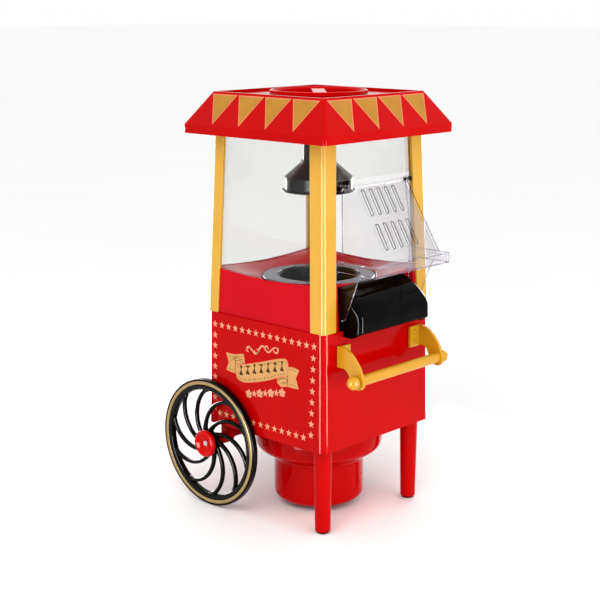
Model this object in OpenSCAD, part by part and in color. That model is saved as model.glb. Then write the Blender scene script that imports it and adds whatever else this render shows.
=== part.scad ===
// Tabletop hot-air popcorn maker in the shape of an old street cart.
// The frame has +Z up, the front (chute, visor, push handle) towards -Y and the wheels at the rear.
// The origin is the centre of the whole footprint, on the floor. Sizes are in millimetres.

/* [Body] */
// Half width of the square body at its lower edge
body_half_low = 75; // [74:0.5:76]
// Half width of the square body at its upper edge
body_half_high = 73.5; // [73:0.5:75]
// Height of the body's lower edge above the floor
body_bottom = 79.6; // [78:0.2:82]
// Height of the body's upper edge above the floor
body_top = 187.2; // [186:0.2:189]
// Radius of the body's upright corners
body_corner_r = 8; // [6:0.5:10]
// Wall thickness of the moulded shells
wall = 2.4; // [2:0.1:2.8]

/* [Posts and panels] */
// Half width over the posts' outer faces, at the body's upper edge
post_half = 73.2; // [72.6:0.1:73.4]
// Angle that each post leans inwards on both faces
post_lean = 1.99; // [1.8:0.01:2.1]
// Width of a front post
front_post_w = 16.3; // [15:0.1:17]
// Width of a rear post
rear_post_w = 13; // [12:0.5:14]
// Height of the posts' upper ends above the floor
post_top = 352.9; // [352:0.1:354]
// Thickness of a clear panel
panel_t = 1.6; // [1.4:0.1:1.8]
// Distance from a post's outer face to a panel's outer face
panel_inset = 3; // [2.8:0.1:3.4]

/* [Deck and chamber] */
// Half width of the deck at the body's upper edge
deck_half = 71.6; // [71:0.1:72]
// Height of the deck's highest edge above the floor
deck_top = 232; // [230:0.5:234]
// Height of the flat seat that carries the chamber ring
deck_seat = 219; // [218:0.5:219.5]
// Outer radius of the popping chamber
chamber_r = 38; // [37:0.1:38.4]
// Height of the popping chamber's underside above the floor
chamber_bottom = 150; // [145:1:155]
// Outer radius of the ring around the chamber
ring_r = 52.6; // [52:0.1:53]

/* [Roof] */
// Half width of the roof's rim
roof_half = 86.9; // [86:0.1:88]
// Half width of the roof's flat top
roof_top_half = 67.7; // [67:0.1:69]
// Height of the top of the rim above the floor
rim_top = 360.7; // [360:0.1:362]
// Height of the roof's top lip above the floor
roof_top = 390; // [389:0.5:391]
// Outer radius of the measuring cup's flange
cup_r = 44.5; // [44:0.5:46]

/* [Filler and hood] */
// Outer radius of the filler tube
tube_r = 14.9; // [14.5:0.1:15.2]
// Radius of the hood's upright band
hood_r = 31.5; // [31:0.1:32]
// Height of the hood's lower edge above the floor
hood_bottom = 299.4; // [299:0.1:301]

/* [Chute and visor] */
// Half width of the chute
chute_half = 48.4; // [48:0.1:48.8]
// Half width of the visor's rim
visor_half = 51; // [50.8:0.1:51.4]
// Distance from the body's axis to the visor's front rim
visor_reach = 113; // [111:0.5:114]
// Distance from the body's axis to the visor's hinge
hinge_y = 68; // [67.8:0.1:68.4]
// Height of the visor's hinge above the floor
hinge_z = 312; // [311:0.5:313]
// Radius of the hinge pins
hinge_pin_r = 1.25; // [1.1:0.05:1.4]

/* [Handle] */
// Radius of the handle bar
bar_r = 4.8; // [4.4:0.1:5]
// Distance from the body's axis to the handle bar
bar_y = 98; // [96:0.5:99]
// Height of the handle bar above the floor
bar_z = 147.5; // [146:0.5:149]

/* [Wheels and legs] */
// Outer radius of a wheel
wheel_r = 61.5; // [61:0.1:62]
// Distance from the body's axis to the axle
wheel_y = 66; // [65:0.5:67]
// Distance from the centre plane to a wheel's outer face
wheel_x = 84; // [84:0.5:85]
// Width of a wheel's rim
wheel_w = 7; // [6.5:0.1:7]
// Number of curved spokes in a wheel
spokes = 10; // [8:1:12]
// Radius of the steel axle
axle_r = 2.5; // [2.4:0.1:2.6]
// Distance from the centre planes to a front leg's axis
leg_at = 61; // [60:0.5:62]
// Radius of a front leg at the body
leg_r_high = 8.5; // [8:0.1:9]
// Radius of a front leg above its foot
leg_r_low = 7.15; // [7:0.05:7.4]

/* [Fan and heater] */
// Outer radius of the round drum under the body
drum_r = 42.7; // [42:0.1:43]
// Outer radius of the dish between the body and the drum
dish_r = 60.5; // [60:0.1:61]
// Radius of the fan's impeller
fan_r = 36; // [34:0.5:37]
// Number of impeller blades
blades = 9; // [7:1:11]
// Radius of the motor's can
motor_r = 17.5; // [16:0.5:19]
// Radius of the motor's shaft
shaft_r = 1.5; // [1.4:0.1:1.6]
// Number of turns in the heating coil
coil_turns = 8; // [6:1:9]

/* [Hidden] */
$fn = 64;
// The footprint runs from the visor's rim to the back of the wheels, and the origin is its middle.
cart_y = (visor_reach - wheel_y - wheel_r) / 2;
lean_rise = tan(post_lean);
post_foot = body_top;
floor_top = body_bottom + wall;
roof_plate_t = 2.4;
roof_deck = roof_top - 2;
cup_hole_r = 39;
chamber_wall = 1.2;
duct_r = 41;
spider_z = 62;
motor_z = 30;
grille_z = 5.3;
fan_z = 12;
fan_h = 15;
switch_x = -34;
switch_z = 118;
gland_x = 36;
gland_z = 98;
// Gap that keeps a flange clear of the leaning back wall
lean_gap = 0.13;
// Sideways place of the screws that hold the base housing
base_screw_x = 58;
// Wall and outer corner radius of the corner posts
post_wall = 2.8;
post_corner_r = 3.6;
bracket_x = 57;
bracket_t = 2.8;
flange_screw_x = 49;
flange_screw_z = [160.5, 169.5];
cap_r = 13;
cap_reach = 90;
spoke_arc_r = 32.6;
spoke_arc_at = 29;
spoke_w = 3.9;
rim_in = 51;
hub_r = 10.5;
visor_t = 1.6;
visor_top_z = 314;
visor_low_z = 249;
slope_angle = atan((105.5 - 67.2) / (visor_top_z - visor_low_z));
slot_pitch = 10.3;
slot_w = 3.5;

// Half width over the posts at height z.
function post_half_at(z) = post_half - (z - post_foot) * lean_rise;
// Distance of the visor's sloped face from the body's axis at height z.
function slope_at(z) = 67.2 + (visor_top_z - z) * tan(slope_angle);

// Moves a piece drawn about the body's axis into the cart's own frame.
module place() {
    translate([0, cart_y, 0]) children();
}

// Square outline with round corners.
module round_square(half, r) {
    square([2 * half, 2 * (half - r)], center = true);
    square([2 * (half - r), 2 * half], center = true);
    for (sx = [-1, 1], sy = [-1, 1])
        translate([sx * (half - r), sy * (half - r)]) circle(r = r);
}

// Rectangle with round corners.
module round_rect(w, h, r) {
    square([w, h - 2 * r], center = true);
    square([w - 2 * r, h], center = true);
    for (sx = [-1, 1], sy = [-1, 1])
        translate([sx * (w / 2 - r), sy * (h / 2 - r)]) circle(r = r);
}

// Square block with round corners whose half width changes with height.
module tapered_block(half_low, half_high, r, z0, z1) {
    translate([0, 0, z0])
        linear_extrude(height = z1 - z0, scale = half_high / half_low) round_square(half_low, r);
}

// Cylinder that runs along X from x0 to x1.
module rod_x(r, x0, x1) {
    translate([x0, 0, 0]) rotate([0, 90, 0]) cylinder(h = x1 - x0, r = r);
}

// Side outline, given as (y, z) points, extruded along X from x0 to x1.
module side_plate(points, x0, x1) {
    translate([x0, 0, 0]) rotate([90, 0, 90]) linear_extrude(height = x1 - x0) polygon(points);
}

// Clear panel on the +X side, which leans with the posts; z0 is its lower edge.
module panel_plate(z0, z1, front_in, rear_in, grow = 0) {
    face = post_half_at(z0) - panel_inset;
    s1 = (z1 - z0) / cos(post_lean);
    front0 = -(post_half_at(z0) - front_in);
    front1 = -(post_half_at(z1) - front_in);
    rear0 = post_half_at(z0) - rear_in;
    rear1 = post_half_at(z1) - rear_in;
    translate([face, 0, z0])
        rotate([0, -post_lean, 0])
            translate([-panel_t - grow, 0, 0])
                rotate([90, 0, 90])
                    linear_extrude(height = panel_t + 2 * grow)
                        polygon([
                            [front0 - grow, -grow],
                            [rear0 + grow, -grow],
                            [rear1 + grow, s1 + grow],
                            [front1 - grow, s1 + grow]
                        ]);
}

// Panel between the posts on the +X side.
module side_panel(grow = 0) {
    panel_plate(deck_seat + 3, post_top - 1, front_post_w - 2, rear_post_w - 2, grow);
}

module rear_panel(grow = 0) {
    rotate([0, 0, 90]) panel_plate(deck_seat + 3, post_top - 1, rear_post_w - 2, rear_post_w - 2, grow);
}

module upper_front_panel(grow = 0) {
    rotate([0, 0, -90])
        panel_plate(visor_top_z + 4, post_top - 1, front_post_w - 2, front_post_w - 2, grow);
}

// Angle section of a corner post: one round outer corner, open towards the cabinet.
module post_section(w, grow) {
    difference() {
        union() {
            translate([post_corner_r, -grow]) square([w - post_corner_r + grow, w + 2 * grow]);
            translate([-grow, post_corner_r]) square([w + 2 * grow, w - post_corner_r + grow]);
            translate([post_corner_r, post_corner_r]) circle(r = post_corner_r + grow);
        }
        translate([post_wall + grow, post_wall + grow]) square(w + 1);
    }
}

// Leaning post at the corner (sx, sy), before its ends are cut level, grown by a clearance.
module post_angle(sx, sy, w, grow = 0) {
    translate([sx * post_half, sy * post_half, post_foot])
        rotate([sy * post_lean, -sx * post_lean, 0])
            mirror([sx > 0 ? 1 : 0, 0, 0]) mirror([0, sy > 0 ? 1 : 0, 0])
                translate([0, 0, -20]) linear_extrude(height = 220) post_section(w, grow);
}

module post(sx, sy, w) {
    color("gold") place() difference() {
        intersection() {
            post_angle(sx, sy, w);
            translate([-100, -100, post_foot]) cube([200, 200, post_top - post_foot]);
        }
        if (sx > 0) side_panel(0.1);
        if (sx < 0) mirror([1, 0, 0]) side_panel(0.1);
        if (sy > 0) rear_panel(0.1);
        if (sy < 0) upper_front_panel(0.1);
    }
}

// ---- Body ----

module body_shell() {
    color("red") place() difference() {
        tapered_block(body_half_low, body_half_high, body_corner_r, body_bottom, body_top);
        tapered_block(body_half_low - wall, body_half_high - wall, body_corner_r - wall,
            body_bottom - 0.01, body_top - wall);
        // Opening in the top ledge
        translate([0, 0, body_top - wall - 1]) linear_extrude(height = wall + 2) round_square(66, 20);
        for (sx = [-1, 1], z = flange_screw_z)
            translate([sx * flange_screw_x, -body_half_low - 1, z])
                rotate([-90, 0, 0]) cylinder(h = 6, r = 1.3);
        // Cut-out for the switch and hole for the cord gland
        translate([switch_x - 10.2, 60, switch_z - 6.7]) cube([20.4, 20, 13.4]);
        translate([gland_x, 60, gland_z]) rotate([-90, 0, 0]) cylinder(h = 20, r = 5.5);
    }
}

module base_housing() {
    plate_half = body_half_low - wall - 0.15;
    color("red") place() difference() {
        union() {
            translate([0, 0, body_bottom])
                linear_extrude(height = wall) round_square(plate_half, body_corner_r - wall);
            rotate_extrude() polygon([
                [0, grille_z], [drum_r - 5, grille_z], [drum_r - 2, grille_z + 1.2],
                [drum_r - 0.4, grille_z + 3.6], [drum_r, grille_z + 6.5],
                [drum_r, 44], [drum_r + 1, 46], [49.5, 51], [56, 54.6], [59, 57.5],
                [dish_r - 0.3, 61], [dish_r, 64], [dish_r, body_bottom + 0.5], [0, body_bottom + 0.5]
            ]);
        }
        rotate_extrude() polygon([
            [0, grille_z + 2.5], [drum_r - 4, grille_z + 2.5], [drum_r - wall, grille_z + 5.5],
            [drum_r - wall, 45.5], [48.5, 53.4], [55, 57], [dish_r - wall, 63],
            [dish_r - wall, body_bottom + wall + 1], [0, body_bottom + wall + 1]
        ]);
        // Air inlet in the drum's underside
        translate([0, 0, grille_z - 1]) cylinder(h = 6, r = fan_r - 2);
        for (sx = [-1, 1], sy = [-1, 1])
            translate([sx * base_screw_x, sy * 30, body_bottom - 1]) cylinder(h = wall + 2, r = 1.6);
        for (sx = [-1, 1])
            translate([sx * leg_at, -leg_at, body_bottom - 1]) cylinder(h = wall + 2, r = 2.1);
    }
}

module intake_grille() {
    color("firebrick") place() difference() {
        translate([0, 0, grille_z + 2.5]) cylinder(h = 1.8, r = drum_r - 5);
        for (row = [-5:5])
            let (reach = sqrt(pow(fan_r - 5, 2) - pow(row * 5.6, 2)))
                if (reach > 6)
                    translate([-reach, row * 5.6 - 1.4, grille_z]) cube([2 * reach, 2.8, 8]);
    }
}

module deck() {
    high_half = deck_half - (deck_top - body_top) * lean_rise;
    color("crimson") place() difference() {
        tapered_block(deck_half, high_half, 3, body_top, deck_top);
        // Hollow underside
        tapered_block(deck_half - wall, deck_half - wall - 1, 2, body_top - 1, deck_seat - wall);
        // Dished top that falls from the corners to the chamber's seat
        rotate_extrude() polygon([
            [0, deck_seat], [ring_r + 1.2, deck_seat], [60, 222.2], [71, 226.2], [80, 227.4],
            [90, 228.8], [97, 231], [110, 236], [110, 240], [0, 240]
        ]);
        translate([0, 0, body_top]) cylinder(h = 60, r = chamber_r + 0.3);
        // Front cut for the chute and the visor's cheeks
        translate([-52.2, -90, body_top - 1]) cube([104.4, 90 - 63.2, 60]);
        for (sx = [-1, 1]) {
            post_angle(sx, -1, front_post_w, 0.15);
            post_angle(sx, 1, rear_post_w, 0.15);
        }
        side_panel(0.1);
        mirror([1, 0, 0]) side_panel(0.1);
        rear_panel(0.1);
    }
}

module chamber_ring() {
    z = deck_seat;
    color("silver") place() rotate_extrude() polygon([
        [chamber_r + 0.6, z + 1.5], [chamber_r + 5, z + 1.5], [chamber_r + 5, z], [ring_r, z],
        [ring_r, z + 1.4], [ring_r - 1.2, z + 2.3], [chamber_r + 3, z + 3],
        [chamber_r + 1.2, z + 2.9], [chamber_r + 0.6, z + 2.4]
    ]);
}

module ring_seal() {
    color("black") place() translate([0, 0, deck_seat]) difference() {
        cylinder(h = 1.6, r = ring_r + 1);
        translate([0, 0, -1]) cylinder(h = 4, r = ring_r + 0.05);
    }
}

// ---- Clear panels ----

module right_panel() {
    color("white", 0.3) place() side_panel();
}

module left_panel() {
    color("white", 0.3) place() mirror([1, 0, 0]) side_panel();
}

module back_panel() {
    color("white", 0.3) place() rear_panel();
}

module front_panel() {
    lug_z = visor_top_z + 4;
    face = post_half_at(lug_z) - panel_inset;
    color("white", 0.3) place() {
        upper_front_panel();
        // Lugs that carry the visor's pins
        for (sx = [-1, 1]) difference() {
            translate([sx * 46.8, 0, 0]) union() {
                side_plate([
                    [-face - 0.4, lug_z + 8], [-hinge_y - 3, hinge_z + 1], [-hinge_y - 3, hinge_z - 1],
                    [-hinge_y, hinge_z - 3], [-face + 0.5, hinge_z - 3], [-face + 0.8, lug_z + 0.2],
                    [-face + 0.4, lug_z + 8]
                ], -1.3, 1.3);
            }
            translate([0, -hinge_y, hinge_z]) rod_x(hinge_pin_r, -60, 60);
        }
    }
}

// ---- Roof, filler and cup ----

module roof() {
    slope_h = roof_top - rim_top;
    color("red") place() difference() {
        union() {
            translate([0, 0, post_top])
                linear_extrude(height = rim_top - post_top) round_square(roof_half, 3);
            tapered_block(roof_half, roof_top_half, 3, rim_top, roof_top);
        }
        // Recessed top inside the lip
        translate([0, 0, roof_deck]) linear_extrude(height = 5) round_square(roof_top_half - 3, 2);
        // Hollow underside
        translate([0, 0, post_top - 1])
            linear_extrude(height = rim_top - post_top + 1.01) round_square(roof_half - wall, 2);
        tapered_block(roof_half - wall, roof_top_half - wall, 2, rim_top, roof_deck - roof_plate_t);
        translate([0, 0, roof_deck - 6]) cylinder(h = 12, r = cup_hole_r);
    }
}

module ceiling_plate() {
    color("darkred") place() difference() {
        translate([0, 0, post_top])
            linear_extrude(height = wall) round_square(roof_half - wall - 0.15, 1.8);
        translate([0, 0, post_top - 1]) cylinder(h = 6, r = tube_r + 0.1);
        for (sx = [-1, 1], sy = [-1, 1])
            translate([sx * 60, sy * 60, post_top - 1]) cylinder(h = 6, r = 1.6);
    }
}

module filler_tube() {
    seat = roof_deck - roof_plate_t;
    color("#2a2830") place() rotate_extrude() polygon([
        [tube_r - 1.9, 312], [tube_r, 312], [tube_r, 357.5], [41.8, 374], [41.8, seat - 1.8],
        [49, seat - 1.8], [49, seat], [40, seat], [40, 375], [tube_r - 1.9, 358.4]
    ]);
}

module kettle_hood() {
    z = hood_bottom;
    color("#2a2830") place() rotate_extrude() polygon([
        [tube_r, z + 28], [tube_r + 1.5, z + 28], [tube_r + 1.5, z + 26], [hood_r, z + 13],
        [hood_r, z + 2], [hood_r + 2.3, z + 1.4], [hood_r + 2.3, z], [hood_r - 1.6, z],
        [hood_r - 1.6, z + 12.2], [tube_r, z + 24.8]
    ]);
}

module measuring_cup() {
    z = roof_deck + 0.2;
    color("red") place() {
        rotate_extrude() polygon([
            [0, z - 12], [30, z - 12], [cup_hole_r - 2, z - 6], [cup_hole_r - 0.5, z - 4],
            [cup_hole_r - 0.5, z], [cup_r, z], [cup_r, z + 2.6], [cup_r - 0.7, z + 3.3],
            [cup_r - 2, z + 3.3], [cup_r - 3, z + 1.6], [cup_hole_r - 2.2, z + 1.6],
            [cup_hole_r - 2.2, z - 3.6], [29.4, z - 10.2], [0, z - 10.2]
        ]);
        // Grip bar across the cup, set along the roof's diagonal
        rotate([0, 0, 45]) intersection() {
            translate([-45, -6, z - 11]) cube([90, 12, 13.2]);
            rotate_extrude() polygon([
                [0, z - 12], [29, z - 11.2], [cup_hole_r - 2.2, z - 5], [cup_hole_r - 1.4, z - 3],
                [cup_hole_r - 1.4, z + 5], [0, z + 5]
            ]);
        }
    }
}

// ---- Chute and visor ----

module popcorn_chute() {
    color("#151515") place() difference() {
        side_plate([
            [-63.6, 225], [-68, 221.6], [-73.5, 219], [-80, 215.4], [-85, 211.6], [-89.5, 207.4],
            [-92.6, 204], [-94, 200.5], [-94.3, 196], [-94, 187.4], [-93, 186.4], [-76, 188],
            [-76, 190], [-63.6, 190]
        ], -chute_half, chute_half);
        side_plate([
            [-62, 221], [-67, 218.6], [-72.9, 216.4], [-79, 213], [-83.6, 209.4], [-87.6, 205.8],
            [-90.4, 202.4], [-91.5, 199], [-91.6, 190], [-80, 190.6], [-80, 186], [-77.8, 186],
            [-77.8, 192.2], [-62, 192.2]
        ], -chute_half + 2.4, chute_half - 2.4);
    }
}

module visor_wedge(side, back_top, back_low, grow) {
    hull() {
        translate([-43.4 + side, -slope_at(visor_top_z) + grow, visor_top_z - 0.02])
            cube([2 * (43.4 - side), slope_at(visor_top_z) - grow - back_top, 0.02]);
        translate([0, 0, visor_low_z - 1.6]) linear_extrude(height = 0.02) polygon([
            [-46 + side, -slope_at(visor_low_z - 1.6) + grow], [46 - side, -slope_at(visor_low_z - 1.6) + grow],
            [48.5 - side, -back_low], [-48.5 + side, -back_low]
        ]);
    }
}

module visor_slot(x, s0, s1) {
    translate([x, -slope_at(visor_top_z), visor_top_z])
        rotate([-slope_angle, 0, 0])
            translate([0, 5, -(s0 + s1) / 2])
                rotate([90, 0, 0])
                    linear_extrude(height = 10) round_rect(slot_w, s1 - s0, slot_w / 2 - 0.01);
}

module visor() {
    rim_low = 239.5;
    rim_back = 67;
    color("white", 0.35) place() difference() {
        union() {
            difference() {
                visor_wedge(0, 66.4, 72, 0);
                visor_wedge(visor_t, 50, 60, visor_t / cos(slope_angle));
            }
            // Rim: a ledge round the slope's foot with a skirt on three sides
            difference() {
                translate([-visor_half, -visor_reach, rim_low])
                    cube([2 * visor_half, visor_reach - rim_back, visor_low_z - rim_low]);
                translate([-visor_half + visor_t, -visor_reach + visor_t, rim_low - 1])
                    cube([2 * (visor_half - visor_t), 100, visor_low_z - rim_low + 1 - visor_t]);
                translate([0, 0, rim_low]) linear_extrude(height = 20) polygon([
                    [-44.4, -slope_at(visor_low_z) + 2], [44.4, -slope_at(visor_low_z) + 2],
                    [47, -72], [47, -60], [-47, -60], [-47, -72]
                ]);
            }
            // Lower cheeks beside the chute
            for (sx = [-1, 1]) translate([sx * (visor_half - visor_t / 2), 0, 0]) side_plate([
                [-rim_back, 247], [-rim_back, 198], [-69, 196], [-76.5, 196.6], [-78.7, 198.6],
                [-92.3, 234], [-96.8, 240.5], [-96.8, 247]
            ], -visor_t / 2, visor_t / 2);
            // Bosses round the hinge pins
            for (sx = [-1, 1]) translate([sx * 43.4, -hinge_y, hinge_z]) rod_x(3, -1.8, 1.4);
        }
        translate([0, -hinge_y, hinge_z]) rod_x(hinge_pin_r + 0.06, -60, 60);
        for (i = [-2:2]) {
            visor_slot(i * slot_pitch, 6.3, 31.3);
            visor_slot(i * slot_pitch, 39.2, 64);
        }
    }
}

module visor_pins() {
    color("silver") place() translate([0, -hinge_y, hinge_z])
        for (sx = [-1, 1]) mirror([sx < 0 ? 1 : 0, 0, 0]) {
            rod_x(hinge_pin_r, 41, 48.1);
            rod_x(2.2, 48.1, 49);
        }
}

// ---- Push handle ----

module handle_bar() {
    color("gold") place() translate([0, -bar_y, bar_z]) {
        rod_x(bar_r, -bracket_x + bracket_t, bracket_x - bracket_t);
        rod_x(3, -bracket_x - 3, bracket_x + 3);
    }
}

module handle_knobs() {
    color("gold") place() translate([0, -bar_y, bar_z]) for (sx = [-1, 1]) difference() {
        translate([sx * 62.4, 0, 0]) sphere(r = 5.9);
        mirror([sx < 0 ? 1 : 0, 0, 0]) {
            rod_x(3, 50, bracket_x + 3);
            translate([bracket_x - 10, -10, -10]) cube([10, 20, 20]);
        }
    }
}

module handle_bracket(sx) {
    wall_y = body_half_low;
    color("gold") place() mirror([sx < 0 ? 1 : 0, 0, 0]) difference() {
        union() {
            side_plate([
                [-wall_y + 0.9, 156.5], [-82, 156.5], [-85.4, 154.6], [-87.8, 151], [-89.6, 147],
                [-91.4, 143.4], [-94.6, 140.6], [-98.4, 139.8], [-102, 141], [-104.4, 144],
                [-104.8, 148], [-102.8, 153], [-100.6, 158.6], [-97.4, 163.4], [-93.6, 167.8],
                [-89, 171.8], [-84, 174.6], [-79, 175.4], [-wall_y + 0.9, 175.4]
            ], bracket_x - bracket_t, bracket_x);
            translate([flange_screw_x - 7, -wall_y - 1.6, 155.4]) cube([bracket_x - flange_screw_x + 5, 2.4, 19.6]);
        }
        translate([0, -bar_y, bar_z]) rod_x(3, 50, 60);
        for (z = flange_screw_z)
            translate([flange_screw_x, -wall_y - 5, z]) rotate([-90, 0, 0]) cylinder(h = 8, r = 1.3);
        // The flange lies flat on the body's drafted front
        tapered_block(body_half_low, body_half_high, body_corner_r, body_bottom, body_top);
    }
}

module left_handle_bracket() {
    handle_bracket(-1);
}

module right_handle_bracket() {
    handle_bracket(1);
}

module handle_screws() {
    color("goldenrod") place() for (sx = [-1, 1], z = flange_screw_z)
        translate([sx * flange_screw_x, -body_half_low - 1.6, z]) rotate([90, 0, 0]) difference() {
            union() {
                cylinder(h = 1.4, r1 = 2.8, r2 = 2.2);
                translate([0, 0, -6]) cylinder(h = 6.2, r = 1.3);
            }
            for (turn = [0, 90]) rotate([0, 0, turn]) translate([-1.6, -0.35, 0.7]) cube([3.2, 0.7, 2]);
        }
}

// ---- Legs and wheels ----

module front_leg(sx) {
    color("red") place() translate([sx * leg_at, -leg_at, 0]) difference() {
        translate([0, 0, 2.5]) cylinder(h = body_bottom - 2.5, r1 = leg_r_low, r2 = leg_r_high);
        translate([0, 0, body_bottom - 12]) cylinder(h = 13, r = 1.9);
        translate([0, 0, 2]) cylinder(h = 6.5, r = 3);
    }
}

module front_left_leg() {
    front_leg(-1);
}

module front_right_leg() {
    front_leg(1);
}

module leg_feet() {
    color("maroon") place() for (sx = [-1, 1]) translate([sx * leg_at, -leg_at, 0]) {
        rotate_extrude() polygon([
            [0, 0], [4.8, 0], [5.7, 0.6], [6.2, 1.6], [6.3, 2.5], [3, 2.5], [3, 8], [0, 8]
        ]);
    }
}

module leg_screws() {
    color("silver") place() for (sx = [-1, 1]) translate([sx * leg_at, -leg_at, floor_top]) {
        translate([0, 0, -12]) cylinder(h = 12.2, r = 1.9);
        cylinder(h = 2, r1 = 4, r2 = 3.2);
    }
}

module axle_carrier() {
    color("red") place() difference() {
        union() {
            translate([-60, wheel_y - 6, wheel_r + 3]) cube([120, 12, body_bottom - wheel_r - 3]);
            for (sx = [-1, 1]) mirror([sx < 0 ? 1 : 0, 0, 0]) {
                translate([0, wheel_y, wheel_r]) rod_x(5.5, 54, 75.2);
                translate([54, wheel_y - 5.5, wheel_r]) cube([6, 11, 10]);
            }
        }
        translate([0, wheel_y, wheel_r]) rod_x(axle_r, -90, 90);
        // Hollow beam and room for the dish
        translate([-50, wheel_y - 4, wheel_r + 5]) cube([100, 8, body_bottom - wheel_r - 3.5]);
        cylinder(h = body_bottom + 1, r = dish_r + 0.3);
    }
}

module axle() {
    color("silver") place() translate([0, wheel_y, wheel_r]) rod_x(axle_r, -cap_reach + 3.4, cap_reach - 3.4);
}

module axle_clips() {
    color("silver") place() translate([0, wheel_y, wheel_r]) for (sx = [-1, 1])
        mirror([sx < 0 ? 1 : 0, 0, 0]) difference() {
            rod_x(4.6, wheel_x + 0.5, wheel_x + 1.3);
            rod_x(axle_r, 0, 100);
        }
}

// One curved spoke: an arc of a ring, kept between the hub and the rim.
module spoke_outline() {
    lean = -36.4;
    intersection() {
        translate([spoke_arc_at * cos(lean), spoke_arc_at * sin(lean)]) difference() {
            circle(r = spoke_arc_r + spoke_w / 2);
            circle(r = spoke_arc_r - spoke_w / 2);
        }
        difference() {
            circle(r = rim_in + 1);
            circle(r = hub_r - 1.5);
        }
        rotate([0, 0, lean]) translate([-60, 0]) square([130, 70]);
    }
}

// Wheel seen from its outer side, with the outer face at z = 0 and the rim below it.
module wheel_body() {
    difference() {
        union() {
            // Rim with a groove that holds the gilt band
            rotate_extrude() polygon([
                [rim_in, -wheel_w + 1.2], [rim_in + 1.2, -wheel_w], [wheel_r - 1.4, -wheel_w],
                [wheel_r - 0.3, -wheel_w + 1.2], [wheel_r, -wheel_w / 2], [wheel_r - 0.3, -1.4],
                [wheel_r - 1.6, -0.2], [wheel_r - 1.9, -0.8], [wheel_r - 5.6, -0.8], [wheel_r - 5.9, -0.2],
                [rim_in + 2, -0.6], [rim_in, -2]
            ]);
            for (i = [0:spokes - 1]) rotate([0, 0, 22.6 + i * 360 / spokes])
                translate([0, 0, -wheel_w + 1.6]) linear_extrude(height = 4) spoke_outline();
            translate([0, 0, -wheel_w - 1.2]) cylinder(h = wheel_w + 1.2, r = hub_r);
        }
        translate([0, 0, -wheel_w - 5]) cylinder(h = wheel_w + 10, r = axle_r + 0.06);
    }
}

module wheel_band() {
    translate([0, 0, -0.8]) difference() {
        cylinder(h = 0.9, r = wheel_r - 2);
        translate([0, 0, -1]) cylinder(h = 3, r = wheel_r - 5.5);
    }
}

module hub_cap() {
    h = cap_reach - wheel_x;
    rotate_extrude() polygon([
        [6, 0.02], [cap_r - 1, 0.02], [cap_r, 1], [cap_r - 0.2, 2.6], [cap_r - 1.6, 4.2], [cap_r - 4, 5.3],
        [cap_r - 7, 5.8], [0, h], [0, h - 1.8], [5, h - 2.2], [6, h - 2.8]
    ]);
}

// Turns a wheel piece to the side sx and mounts it on the axle.
module on_axle(sx) {
    place() translate([sx * wheel_x, wheel_y, wheel_r])
        mirror([sx > 0 ? 1 : 0, 0, 0]) rotate([0, 0, 180]) rotate([90, 0, 90]) children();
}

module left_wheel() {
    color("#222222") on_axle(-1) wheel_body();
}

module left_wheel_band() {
    color("goldenrod") on_axle(-1) wheel_band();
}

module left_hub_cap() {
    color("red") on_axle(-1) hub_cap();
}

module right_wheel() {
    color("#222222") on_axle(1) wheel_body();
}

module right_wheel_band() {
    color("goldenrod") on_axle(1) wheel_band();
}

module right_hub_cap() {
    color("red") on_axle(1) hub_cap();
}

// ---- Popping works ----

module popping_chamber() {
    z = chamber_bottom;
    color("silver") place() difference() {
        rotate_extrude() polygon([
            [0, z + 8], [10, z + 6], [20, z], [chamber_r, z], [chamber_r, deck_seat],
            [chamber_r + 4.6, deck_seat], [chamber_r + 4.6, deck_seat + 1.3],
            [chamber_r - chamber_wall, deck_seat + 1.3], [chamber_r - chamber_wall, z + chamber_wall],
            [20.4, z + chamber_wall], [10.4, z + 7.2], [0, z + 9.2]
        ]);
        // Air slots round the foot of the wall
        for (i = [0:15]) rotate([0, 0, i * 22.5]) translate([chamber_r - 5, -1, z + 4]) cube([10, 2, 12]);
    }
}

module heater_duct() {
    color("lightgray") place() difference() {
        translate([0, 0, spider_z + 2.6]) cylinder(h = deck_seat - wall - spider_z - 2.6, r = duct_r);
        translate([0, 0, spider_z]) cylinder(h = 200, r = duct_r - 1.2);
    }
}

module heater_core() {
    color("tan") place() difference() {
        union() {
            translate([-26, -0.6, 92]) cube([52, 1.2, 44]);
            translate([-0.6, -26, 92]) cube([1.2, 52, 44]);
            // Ring that seats the cross in the duct
            difference() {
                translate([0, 0, 88]) cylinder(h = 4, r = duct_r - 1.3);
                translate([0, 0, 87]) cylinder(h = 6, r = duct_r - 5);
            }
            for (turn = [0, 90]) rotate([0, 0, turn]) translate([-duct_r + 2, -0.6, 88])
                cube([2 * duct_r - 4, 1.2, 4]);
        }
        translate([-5, -5, 84]) cube([10, 10, 6]);
    }
}

module heating_coil() {
    color("dimgray") place() for (i = [0:coil_turns - 1])
        translate([0, 0, 97 + i * 4.6]) rotate_extrude() translate([26.8, 0]) circle(r = 0.7, $fn = 16);
}

module thermostat() {
    color("ivory") place() translate([0, 0, 140]) {
        rod_x(7, duct_r + 0.6, duct_r + 5);
        rod_x(3, duct_r, duct_r + 0.6);
        for (sy = [-1, 1]) translate([duct_r + 5, sy * 3.5 - 0.8, -1.6]) cube([5, 0.8, 3.2]);
    }
}

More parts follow.
